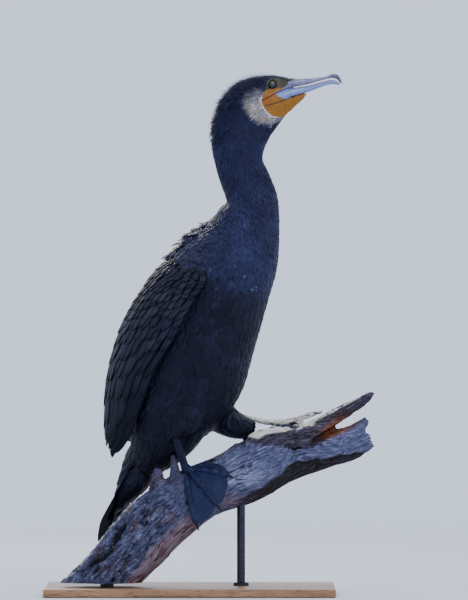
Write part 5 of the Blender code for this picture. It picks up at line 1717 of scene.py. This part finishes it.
def make_claws(side, finish_of):
    """The hooked claws of one foot, as one mesh."""
    steps = np.array(CLAW_STEPS)
    rows = on_curve(np.arange(len(steps), dtype=float), steps, np.linspace(0, len(steps) - 1, 19))
    out, high, radius = rows.T * MM
    pieces = []
    for turn, length in TOES[side]:
        places = foot_points(side, turn, length * MM + out, high)
        pieces.append(tube(f"claw_{side}", places, np.maximum(radius, 0.1 * MM), 14, 0.75))
    claws = join(pieces)
    claws.name = claws.data.name = f"claws_{side}"
    smooth(claws, 60)
    return dress(claws, finish_of, "foot")


def make_tarsus(side, finish_of):
    """The bare shank: flat scutes down its front, small scales behind."""
    ankle = np.array(ANKLES[side]) * MM
    joint = foot_points(side, 0.0, 0.0, JOINT_HEIGHT)
    at = np.linspace(0, 1, 60)
    radii = np.interp(at, np.linspace(0, 1, len(SHANK_RADII)), SHANK_RADII) * (1 - 0.06 * np.sin(at * 9))
    ahead = unit(joint - ankle)
    fore = unit(SHANK_FRONT - ahead * (ahead @ SHANK_FRONT))
    other = np.cross(ahead, fore)
    turns = full_turn(28)
    front = step_up(np.cos(turns), 0.1, 0.7)
    around = fore * np.cos(turns)[:, None] + other * np.sin(turns)[:, None]
    rings = []
    for share, radius in zip(at, radii):
        scute = SHANK_SCUTE * abs(math.sin(share * SHANK_WAVES)) * front
        reach = radius * (0.93 + 0.05 * np.cos(2 * turns)) + scute
        rings.append(ankle + (joint - ankle) * share + around * reach[:, None])
    shank = loft(f"tarsus_{side}", rings)
    smooth(shank, 60)
    return dress(shank, finish_of, "foot", f"tarsus_{side}")


# The perch.
PERCH_SNAGS = (
    # middle and half height and half thickness along each broken piece, in millimetres
    ((150.0, 14.0, 222.0, 16.0, 12.0), (190.0, 19.0, 242.0, 15.0, 12.0), (218.0, 22.0, 261.0, 11.5, 10.0),
     (245.0, 24.0, 277.0, 9.2, 8.0), (261.0, 24.0, 288.5, 6.8, 6.0), (268.0, 24.0, 293.5, 4.0, 3.5)),
    ((205.0, 5.0, 232.0, 16.0, 14.0), (232.0, 5.0, 243.0, 14.0, 12.0), (250.0, 5.0, 250.0, 11.0, 10.0),
     (258.0, 5.0, 255.0, 6.0, 6.0)),
    ((194.0, 8.0, 266.0, 3.2, 3.2), (186.0, 9.0, 264.0, 4.6, 4.6), (169.0, 12.0, 257.8, 5.2, 5.6),
     (153.0, 15.0, 252.3, 5.8, 6.6), (136.0, 18.0, 249.4, 6.2, 7.0), (119.5, 21.0, 249.0, 5.8, 6.6),
     (99.5, 24.0, 251.6, 4.6, 5.6), (86.0, 27.0, 255.6, 3.8, 4.6), (66.0, 31.0, 262.0, 3.0, 3.5)),
    ((140.0, 8.0, 226.0, 12.0, 9.0), (138.0, 13.0, 238.0, 9.0, 7.0), (136.0, 18.0, 248.0, 5.0, 5.0)),
    ((80.0, -15.0, 217.0, 5.0, 5.0), (92.0, -17.0, 226.0, 8.0, 5.0), (108.0, -17.0, 230.0, 9.5, 4.5),
     (126.0, -15.0, 235.0, 8.5, 4.5), (140.0, -12.0, 239.5, 5.5, 4.0), (146.0, -11.0, 241.0, 2.5, 2.5)),
    ((-48.0, -30.0, 118.0, 17.0, 15.0), (-48.0, -30.0, 148.0, 14.0, 12.0), (-47.5, -29.0, 166.0, 10.5, 9.0),
     (-47.0, -28.0, 180.0, 7.5, 6.0), (-46.5, -28.0, 184.0, 5.0, 4.0)),
    ((-17.0, -24.0, 135.0, 15.0, 13.0), (-20.0, -26.0, 160.0, 11.0, 9.5), (-22.5, -28.0, 184.0, 7.0, 6.5),
     (-25.0, -29.0, 203.0, 3.6, 3.4)),
)
WEDGE_STATIONS = (
    # x, z, half height and depth of what is missing between the prongs, in millimetres
    (174, 220, 2.0, 12), (190, 228, 5.0, 26), (215, 242, 7.0, 34), (245, 260, 7.5, 40), (280, 283, 10, 44),
)
PERCH_VOXEL = 1.6 * MM
SHARDS = 90
# How deep each kind of damage is cut into the wood, in millimetres.
CUTS = {
    "fine grain": 0.9, "furrows": 2.4, "plates": 2.6, "scales": 1.5, "cracks": 4.2, "edge of char": 3.5,
    "edge of slab": 2.2, "groove": 10.0, "deepest": 14.0,
}
PERCH_GIRTH_RADIUS = 0.043  # metres: turns an angle round the branch into a distance
# Lines over the branch, x and z in millimetres: the upper edges of the bare wood and of the underside
# painted with shade, the lower edges of the brown slab, of the ledge and of the edge of the upper prong
# painted with sunlight, and the groove under the lip at the lower end.
BARE_LINE = (
    (-150.0, -60.0), (-81.0, 31.0), (-60.0, 63.0), (-36.0, 88.0), (-9.0, 111.0), (10.0, 116.0),
    (60.0, 120.0),
)
UNDERSIDE_LINE = (
    (60.0, 128.0), (83.0, 144.0), (111.0, 161.0), (136.0, 178.0), (153.0, 193.0), (183.0, 194.0),
    (234.0, 203.0), (270.0, 208.0),
)
SLAB_LINE = (
    (60.0, 212.0), (78.0, 218.0), (119.0, 218.0), (153.0, 211.0), (179.0, 217.0), (200.0, 226.0),
    (270.0, 262.0),
)
LEDGE_LINE = (
    (78.0, 232.0), (84.0, 229.5), (92.0, 227.5), (99.5, 225.5), (105.0, 229.0), (111.0, 232.5),
    (139.0, 237.0), (146.0, 240.0),
)
PRONG_LINE = (
    (150.0, 238.0), (159.0, 241.4), (186.0, 254.0), (228.0, 277.0), (244.0, 286.0), (259.0, 295.0),
    (270.0, 300.0),
)
GROOVE_LINE = ((-145.0, 47.0), (-126.0, 60.0), (-112.0, 74.0), (-103.0, 92.0), (-98.0, 100.0))
PITS = (
    # place along the branch, degrees round it towards the camera, half width and depth in millimetres
    (0.098, 40.0, 6.5, 13.0),
    (0.128, 33.0, 5.0, 12.0),
    (0.074, 50.0, 4.5, 8.0),
    (0.166, 62.0, 3.6, 8.0),
    (0.180, 48.0, 3.0, 7.0),
    (0.118, 85.0, 3.0, 6.0),
    (0.090, 105.0, 3.4, 6.0),
    (0.148, 100.0, 2.6, 5.0),
    (0.275, 40.0, 3.0, 5.0),
    (0.330, 70.0, 3.6, 6.0),
    (0.200, -120.0, 6.0, 9.0),
    (0.120, -60.0, 5.0, 8.0),
    (0.300, -95.0, 5.0, 8.0),
)


def make_snag(stations):
    """A broken piece of wood, with splintered ridges along it."""
    rows = np.array(stations) * MM
    knots = distances(rows[:, :3])
    line = on_curve(knots, rows, np.linspace(0, knots[-1], 40))
    line[:, 3:] = np.maximum(line[:, 3:], 1.2 * MM)
    turns = full_turn(28)
    rings = []
    for i, row in enumerate(line):
        ahead = unit(line[min(i + 1, len(line) - 1), :3] - line[max(i - 1, 0), :3])
        across = unit(SIDEWAYS - ahead * ahead[1])
        tall = np.cross(ahead, across)
        rough = 1.0 + 0.10 * np.sin(5 * turns + 1.3 * i / 10) + 0.05 * np.sin(9 * turns - i / 9)
        high, wide = np.cos(turns) * row[3] * rough, np.sin(turns) * row[4] * rough
        rings.append(row[:3] + (tall * high[:, None] + across * wide[:, None]))
    return loft("snag", rings)


def shard(along, angle, length, width, rise):
    """A long flake of bark or wood that lies along the grain, with its tip a little off it."""
    sink, thick = 2.5 * MM, 1.1 * MM
    radius = float(on_curve(PERCH_KNOTS, PERCH, along)[3])
    turns = full_turn(8)
    rings = []
    for t in np.linspace(0, 1, 9):
        half = width * (1 - t) ** 0.6 * min(1.0, 0.5 + 3 * t) + 0.4 * MM
        aside = np.degrees(half * np.cos(turns) / radius)
        lift = -sink + (rise + sink) * t + thick * np.sin(turns)
        rings.append(perch_point(along + length * t, angle + aside, lift))
    return loft("shard", rings)


def wedge_between_prongs():
    """What is missing between the two prongs of the broken end, open towards the camera."""
    rings = []
    turns = full_turn(20)
    for x, z, high, deep in WEDGE_STATIONS:
        tall = high * (np.cos(turns) * 0.85 - 0.12 * np.sin(3 * turns))
        rings.append(np.stack([x - 0.55 * tall, -42 + deep * (1 + np.sin(turns)), z + 0.8 * tall], -1) * MM)
    return loft("wedge", rings)


def make_perch(finish_of):
    """The dead branch: bark, bare grain, cracks and splinters, sawn off level at its lower end."""
    turns = np.arange(0, 360, 3.0)
    places = np.linspace(0, PERCH_KNOTS[-1], 150)
    rings = perch_point(places[:, None], turns[None, :])
    ahead = unit(rings[-1].mean(0) - rings[-2].mean(0))
    ragged = noise_at(rings[-1], 9 * MM, 4.0)
    for back in range(6):
        rings[-1 - back] += ahead * ((6.0 - back) * 1.1 * MM * ragged)[:, None]
    log = loft("perch", rings)
    pieces = [log] + [make_snag(rows) for rows in PERCH_SNAGS]
    for _ in range(SHARDS):
        along = DRAW.uniform(0.06, 0.36)
        if 0.13 < along < 0.30 and DRAW.random() < 0.7:
            continue
        long, wide = DRAW.uniform(14, 42) * MM, DRAW.uniform(2.0, 4.5) * MM
        pieces.append(shard(along, DRAW.uniform(-180, 180), long, wide, DRAW.uniform(0.5, 2.6) * MM))
    join(pieces)
    apply_modifier(log, "REMESH", mode="VOXEL", voxel_size=PERCH_VOXEL)
    wedge = wedge_between_prongs()
    apply_modifier(log, "BOOLEAN", operation="DIFFERENCE", object=wedge, solver="MANIFOLD")
    bpy.data.objects.remove(wedge)
    apply_modifier(log, "REMESH", mode="VOXEL", voxel_size=PERCH_VOXEL)
    relax(log, np.full(len(log.data.vertices), 0.5), 2)
    weather(log)
    cut_off(log, (0, 0, PERCH_CUT_HEIGHT), (0, 0, -1))
    smooth(log, 80)
    return dress(log, finish_of, "wood", "perch")


def perch_coordinates(places):
    """Along the branch, round it in radians, and how far above and beside its middle line, in metres."""
    samples = np.linspace(0, PERCH_KNOTS[-1], 200)
    line = on_curve(PERCH_KNOTS, PERCH, samples)[:, :3]
    nearest = np.argmin(((places[:, None] - line[None]) ** 2).sum(-1), axis=1)
    ahead = unit(np.gradient(line, axis=0)[nearest])
    up = unit(UPWARDS - ahead * ahead[:, 2:3])
    away = places - line[nearest]
    high, aside = (away * up).sum(1), -(away * np.cross(up, ahead)).sum(1)
    return samples[nearest] + (away * ahead).sum(1), np.arctan2(aside, high), high, aside


def plates_at(places, size):
    """Distance from the cracks between plates of about this size, 0 in a crack."""
    near = [noise.voronoi(Vector(p) / size)[0] for p in places]
    return np.array([d[1] - d[0] for d in near])


def below_line(places, line):
    """How many millimetres each place lies under a line drawn over the branch."""
    x, z = np.array(line).T
    return np.interp(places[:, 0] / MM, x, z) - places[:, 2] / MM


def weather(log):
    """Cuts the grain, cracks, plates and pits into the wood, always inwards, and marks its surfaces."""
    places, ways = points_of(log), normals_of(log)
    x, y, z = places.T
    flat = places[:, [0, 2]]
    along, turn, high, aside = perch_coordinates(places)
    swirl = noise_at(places, 60 * MM, 3.0) * 0.010
    lengthwise = np.stack([along * 0.13, high + swirl, aside + swirl], -1)
    fine = noise_at(lengthwise, 3.0 * MM, 6.0, 3)
    furrows = 1 - np.abs(noise_at(lengthwise, 8 * MM, 7.0, 3))
    broad = noise_at(lengthwise, 22 * MM, 8.0, 3)
    flakes = noise_at(places, 10 * MM, 9.0, 5)
    wander = noise_at(places, 16 * MM, 13.0)

    # Where the kinds of surface are. The near side looks towards the camera.
    near = step_up(aside, -0.012, 0.004)
    lower = step_down(along, 0.215, 0.262)
    middle_part = step_up(x, 0.060, 0.085)
    bare_wood = step_up(below_line(places, BARE_LINE) + 9.0 * wander, -6.0, 6.0) * near
    # Painted shade: below this line the underside of the middle part is painted brown-black, shade over
    # brown wood.
    char_depth = below_line(places, UNDERSIDE_LINE) + 3.0 * wander
    char = step_up(char_depth, -2.0, 3.0) * middle_part
    slab = step_up(-below_line(places, SLAB_LINE) + 4.0 * wander, -3.0, 3.0) * middle_part
    bark = np.clip(lower * (1 - bare_wood), 0, 1) * step_up(flakes + 0.5 * broad, -0.75, -0.25)
    plates = plates_at(np.stack([along * 0.25, high, aside], -1), 9 * MM)
    scales = noise_at(np.stack([along * 0.3, high, aside], -1), 7 * MM, 14.0, 4)
    cracks = bell(broad, 0.055) * step_up(noise_at(places, 45 * MM, 11.0), -0.15, 0.25)
    feet = np.zeros(len(places))
    for side in TOES:
        away = np.linalg.norm(places - foot_points(side, 0.0, 0.0, 0.0), axis=1)
        feet = np.maximum(feet, step_down(away, 0.028, 0.060))

    # How deep they are cut, in millimetres: less under the feet.
    depth = CUTS["fine grain"] * (0.5 - 0.5 * fine)
    depth += CUTS["furrows"] * furrows**4 * (0.4 + 0.6 * np.maximum(bark, slab))
    on_bark = CUTS["plates"] * bell(plates, 0.16) + CUTS["scales"] * np.clip(0.3 + scales, 0, 1)
    depth += bark * on_bark
    depth += CUTS["cracks"] * cracks * (1 - 0.6 * bare_wood)
    depth += CUTS["edge of char"] * bell(char_depth - 3.0, 2.4) * step_up(x, 0.13, 0.15) * near
    depth += CUTS["edge of slab"] * bell(below_line(places, SLAB_LINE), 1.8) * step_up(x, 0.08, 0.10) * near
    depth += CUTS["groove"] * bell(distance_to_line(flat / MM, GROOVE_LINE), 3.4) * near
    for where, angle, reach, deep in PITS:
        run, round_it = along - where, (turn - math.radians(angle)) * PERCH_GIRTH_RADIUS
        out = np.sqrt((run * 0.45) ** 2 + round_it**2)
        depth = np.maximum(depth, deep * bell(out, reach * MM))
    depth = np.clip(depth, 0, CUTS["deepest"]) * (1 - 0.7 * feet)
    set_points(log, places - ways * (depth * MM)[:, None])

    # Painted sunlight on broken edges: the ledge, the long splinter, the upper prong and the crest of the
    # butt.
    sunlit_ledge = step_up(-below_line(places, LEDGE_LINE), -1.0, 1.0) * band(x, 0.078, 0.084, 0.145, 0.151)
    sunlit_ledge = sunlit_ledge * step_down(y, -0.007, -0.003)
    sunlit_splinter = step_up(z, 0.2440, 0.2460) * band(x, 0.050, 0.060, 0.176, 0.184) * step_up(y, 0.000, 0.004)
    edge = step_up(-below_line(places, PRONG_LINE), -1.8, -0.4) * step_up(x, 0.152, 0.160)
    edge = edge * step_up(noise_at(places, 12 * MM, 12.0), -0.35, 0.15)
    column = np.floor((x + 0.25) / (1 * MM)).astype(int)
    tops = np.full(column.max() + 1, -1.0)
    np.maximum.at(tops, column, z)
    sunlit_crest = step_up(z - tops[column], -0.0054, -0.0020) * step_down(x, -0.084, -0.076)
    sunlit_crest = 0.65 * sunlit_crest * step_up(noise_at(places, 8 * MM, 12.0), -0.10, 0.20)

    # The red heart between the prongs, and patches on the near side.
    gap_x, gap_z = x - 0.211, z - 0.241
    heart = bell(gap_x * 0.84 + gap_z * 0.54, 0.024) * bell(gap_z * 0.84 - gap_x * 0.54, 0.009)
    heart = heart * step_down(np.abs(y + 0.002), 0.016, 0.030)
    split = mound(flat, (0.059, 0.134), (0.018, 0.009)) * near
    stubs = 0.75 * step_up(z, 0.146, 0.162) * band(x, -0.072, -0.060, -0.016, -0.006)
    mark(
        log,
        bark=bark,
        smooth=np.maximum(bare_wood * lower, 0.8 * split),
        bleached=mound(flat, (0.086, 0.172), (0.028, 0.015)) * near,
        slab=np.maximum(slab, stubs),
        heart=np.clip(heart * 1.2, 0, 1),
        # Painted shade on the brown underside, in patches.
        char=char * step_up(flakes, -1.5, -0.9),
        # Painted sunlight on the broken edges.
        pale=np.maximum.reduce([sunlit_ledge, sunlit_splinter, edge, sunlit_crest]),
        # Painted shade: the deeper the cut, the darker it is painted, and less so under the feet.
        deep=np.clip((depth - 2.8) / 4.0, 0, 0.9) * (1 - 0.6 * feet),
    )
    data = log.data.attributes.new("lengthwise", "FLOAT_VECTOR", "POINT")
    data.data.foreach_set("vector", lengthwise.astype(np.float32).ravel())


# The stand.
BASE_SIZE = (0.420, 0.260, 0.012)
BASE_CORNER = 0.040
BASE_BEVEL = 0.002
RODS = {
    # place, radius and the height of the top, in metres
    "stand_rod_front": ((0.074, 0.000), 0.006, 0.145),
    "stand_rod_rear": ((-0.120, -0.040), 0.010, 0.0182),
}


def make_base(finish_of):
    """A rounded board with a softened upper edge."""
    bpy.ops.mesh.primitive_cube_add(size=1.0)
    base = bpy.context.object
    base.name = base.data.name = "stand_base"
    base.data.transform(Matrix.Translation((0, 0, BASE_SIZE[2] / 2)) @ Matrix.Diagonal((*BASE_SIZE, 1.0)))
    upright, level = (lambda a, b: abs(a.z - b.z) > 0.001), (lambda a, b: abs(a.z - b.z) < 1e-5)
    for edges, width, segments in ((upright, BASE_CORNER, 16), (level, BASE_BEVEL, 4)):
        bpy.ops.object.mode_set(mode="EDIT")
        form = bmesh.from_edit_mesh(base.data)
        for edge in form.edges:
            flat = len(edge.link_faces) == 2 and edge.calc_face_angle() > 0.5
            edge.select = flat and edges(edge.verts[0].co, edge.verts[1].co)
        bmesh.update_edit_mesh(base.data)
        bpy.ops.mesh.bevel(offset=width, segments=segments, affect="EDGES")
        bpy.ops.object.mode_set(mode="OBJECT")
    smooth(base, 35)
    return dress(base, finish_of, "base", "stand_base")


def make_rod(name, finish_of):
    """A turned rod. A long one stands in a low collar."""
    (x, y), radius, top = RODS[name]
    foot = BASE_SIZE[2] + 0.0003
    collar = ((0.0, 1.9), (0.0035, 1.9), (0.0045, 1.75), (0.0052, 1.0)) if top > 0.03 else ((0.0, 1.0),)
    steps = [(foot + height, radius * wide) for height, wide in collar] + [(top, radius)]
    turns = full_turn(64)
    rings = [[(x + r * math.cos(t), y + r * math.sin(t), z) for t in turns] for z, r in steps]
    rod = loft(name, rings)
    smooth(rod, 35)
    return dress(rod, finish_of, "steel", name)


# The room.
BIRD_PLANE = -0.02  # the y where one of the photograph's pixels is as large as PIXEL says


def floor_material():
    """Pale painted floor that fades into the pale room at its rim."""
    made, shader = new_material("pale_floor")
    out = add_node(shader, "ShaderNodeVectorMath", {0: place_of(shader)}, operation="LENGTH")
    fade = {"Value": out.outputs["Value"], "From Min": 1.6, "From Max": 3.4, "To Min": 1.0, "To Max": 0.0}
    fade = add_node(shader, "ShaderNodeMapRange", fade, interpolation_type="SMOOTHSTEP").outputs["Result"]
    fill(shader, {"Base Color": "#C9CED3", "Roughness": 0.75, "Specular IOR Level": 0.2, "Alpha": fade})
    return made


def make_floor():
    """A round floor, just under the stand."""
    bpy.ops.mesh.primitive_circle_add(vertices=96, radius=3.5, fill_type="TRIFAN")
    floor = bpy.context.object
    floor.name = floor.data.name = "floor"
    floor.data.transform(Matrix.Translation((0, 0, -0.0004)))
    floor.data.materials.append(floor_material())


LIGHTS = {
    # place, width and height in metres, watts and colour
    "key": ((1.6, -2.6, 1.9), (1.4, 1.4), 42, "#F6F7FF"),
    "sun_side": ((-1.0, 2.6, 1.9), (0.7, 0.7), 38, "#FFF3E0"),
    "top": ((0.5, 0.4, 2.8), (1.6, 1.2), 35, "#F2F6FF"),
}
LIT_PLACE = Vector((0.03, 0.0, 0.42))


def make_light(name, place, size, power, tint):
    data = bpy.data.lights.new(name, "AREA")
    data.shape = "RECTANGLE"
    data.size, data.size_y = size
    data.energy = power
    data.color = colour(tint)[:3]
    made = new_object(name, data)
    made.location = place
    made.rotation_euler = (LIT_PLACE - Vector(place)).to_track_quat("-Z", "Y").to_euler()


def make_room():
    world = bpy.data.worlds.new("pale_room")
    bpy.context.scene.world = world
    world.use_nodes = True
    fill(world.node_tree.nodes["Background"], {"Color": "#CFDCF3", "Strength": 1.5})
    for name, settings in LIGHTS.items():
        make_light(name, *settings)


def make_camera():
    """A long lens on the bird's right, level, as the photograph was taken."""
    data = bpy.data.cameras.new("camera")
    data.lens = 400.0
    data.sensor_width = 36.0
    camera = new_object("camera", data)
    width, height = PHOTO_SIZE
    distance = data.lens / data.sensor_width * height * PIXEL
    x = (width / 2 - PHOTO_ORIGIN[0]) * PIXEL
    z = (PHOTO_ORIGIN[1] - height / 2) * PIXEL
    camera.location = (x, BIRD_PLANE - distance, z)
    camera.rotation_euler = (math.pi / 2, 0.0, 0.0)
    bpy.context.scene.camera = camera


def main():
    flight = flight_feather_material("wing_feathers", 0.15)
    leather, claw_horn = foot_material(), claw_material()
    eye_glass = eye_material()
    skin = make_skin()
    dress(skin, skin_material(), "plumage", *FLESH)
    make_coat(skin, wing_tree(), contour_feather_material())
    for side, name in ((-1, "right"), (1, "left")):
        make_wing_core(side, f"wing_core_{name}", flight)
        make_wing_feathers(side, f"wing_feathers_{name}", flight)
        make_eye(side, f"eye_{name}", eye_glass)
        make_tarsus(name, leather)
        make_foot(name, leather)
        make_claws(name, claw_horn)
    make_tail(flight_feather_material("tail_feathers", 0.02))
    upper_horn = horn_material("upper_bill_horn", "#8488A8", "#6C6E90", "#4C4E6E", "#26283A")
    lower_horn = horn_material("lower_bill_horn", "#8692C0", "#6C7CAC", "#505E8C", "#4A5478")
    bill_form("bill_upper", BILL_UPPER_STATIONS, True, upper_horn)
    bill_form("bill_lower", BILL_LOWER_STATIONS, False, lower_horn)
    make_perch(wood_material())
    make_base(base_material())
    steel = steel_material()
    for name in RODS:
        make_rod(name, steel)
    make_floor()
    make_room()
    make_camera()


main()
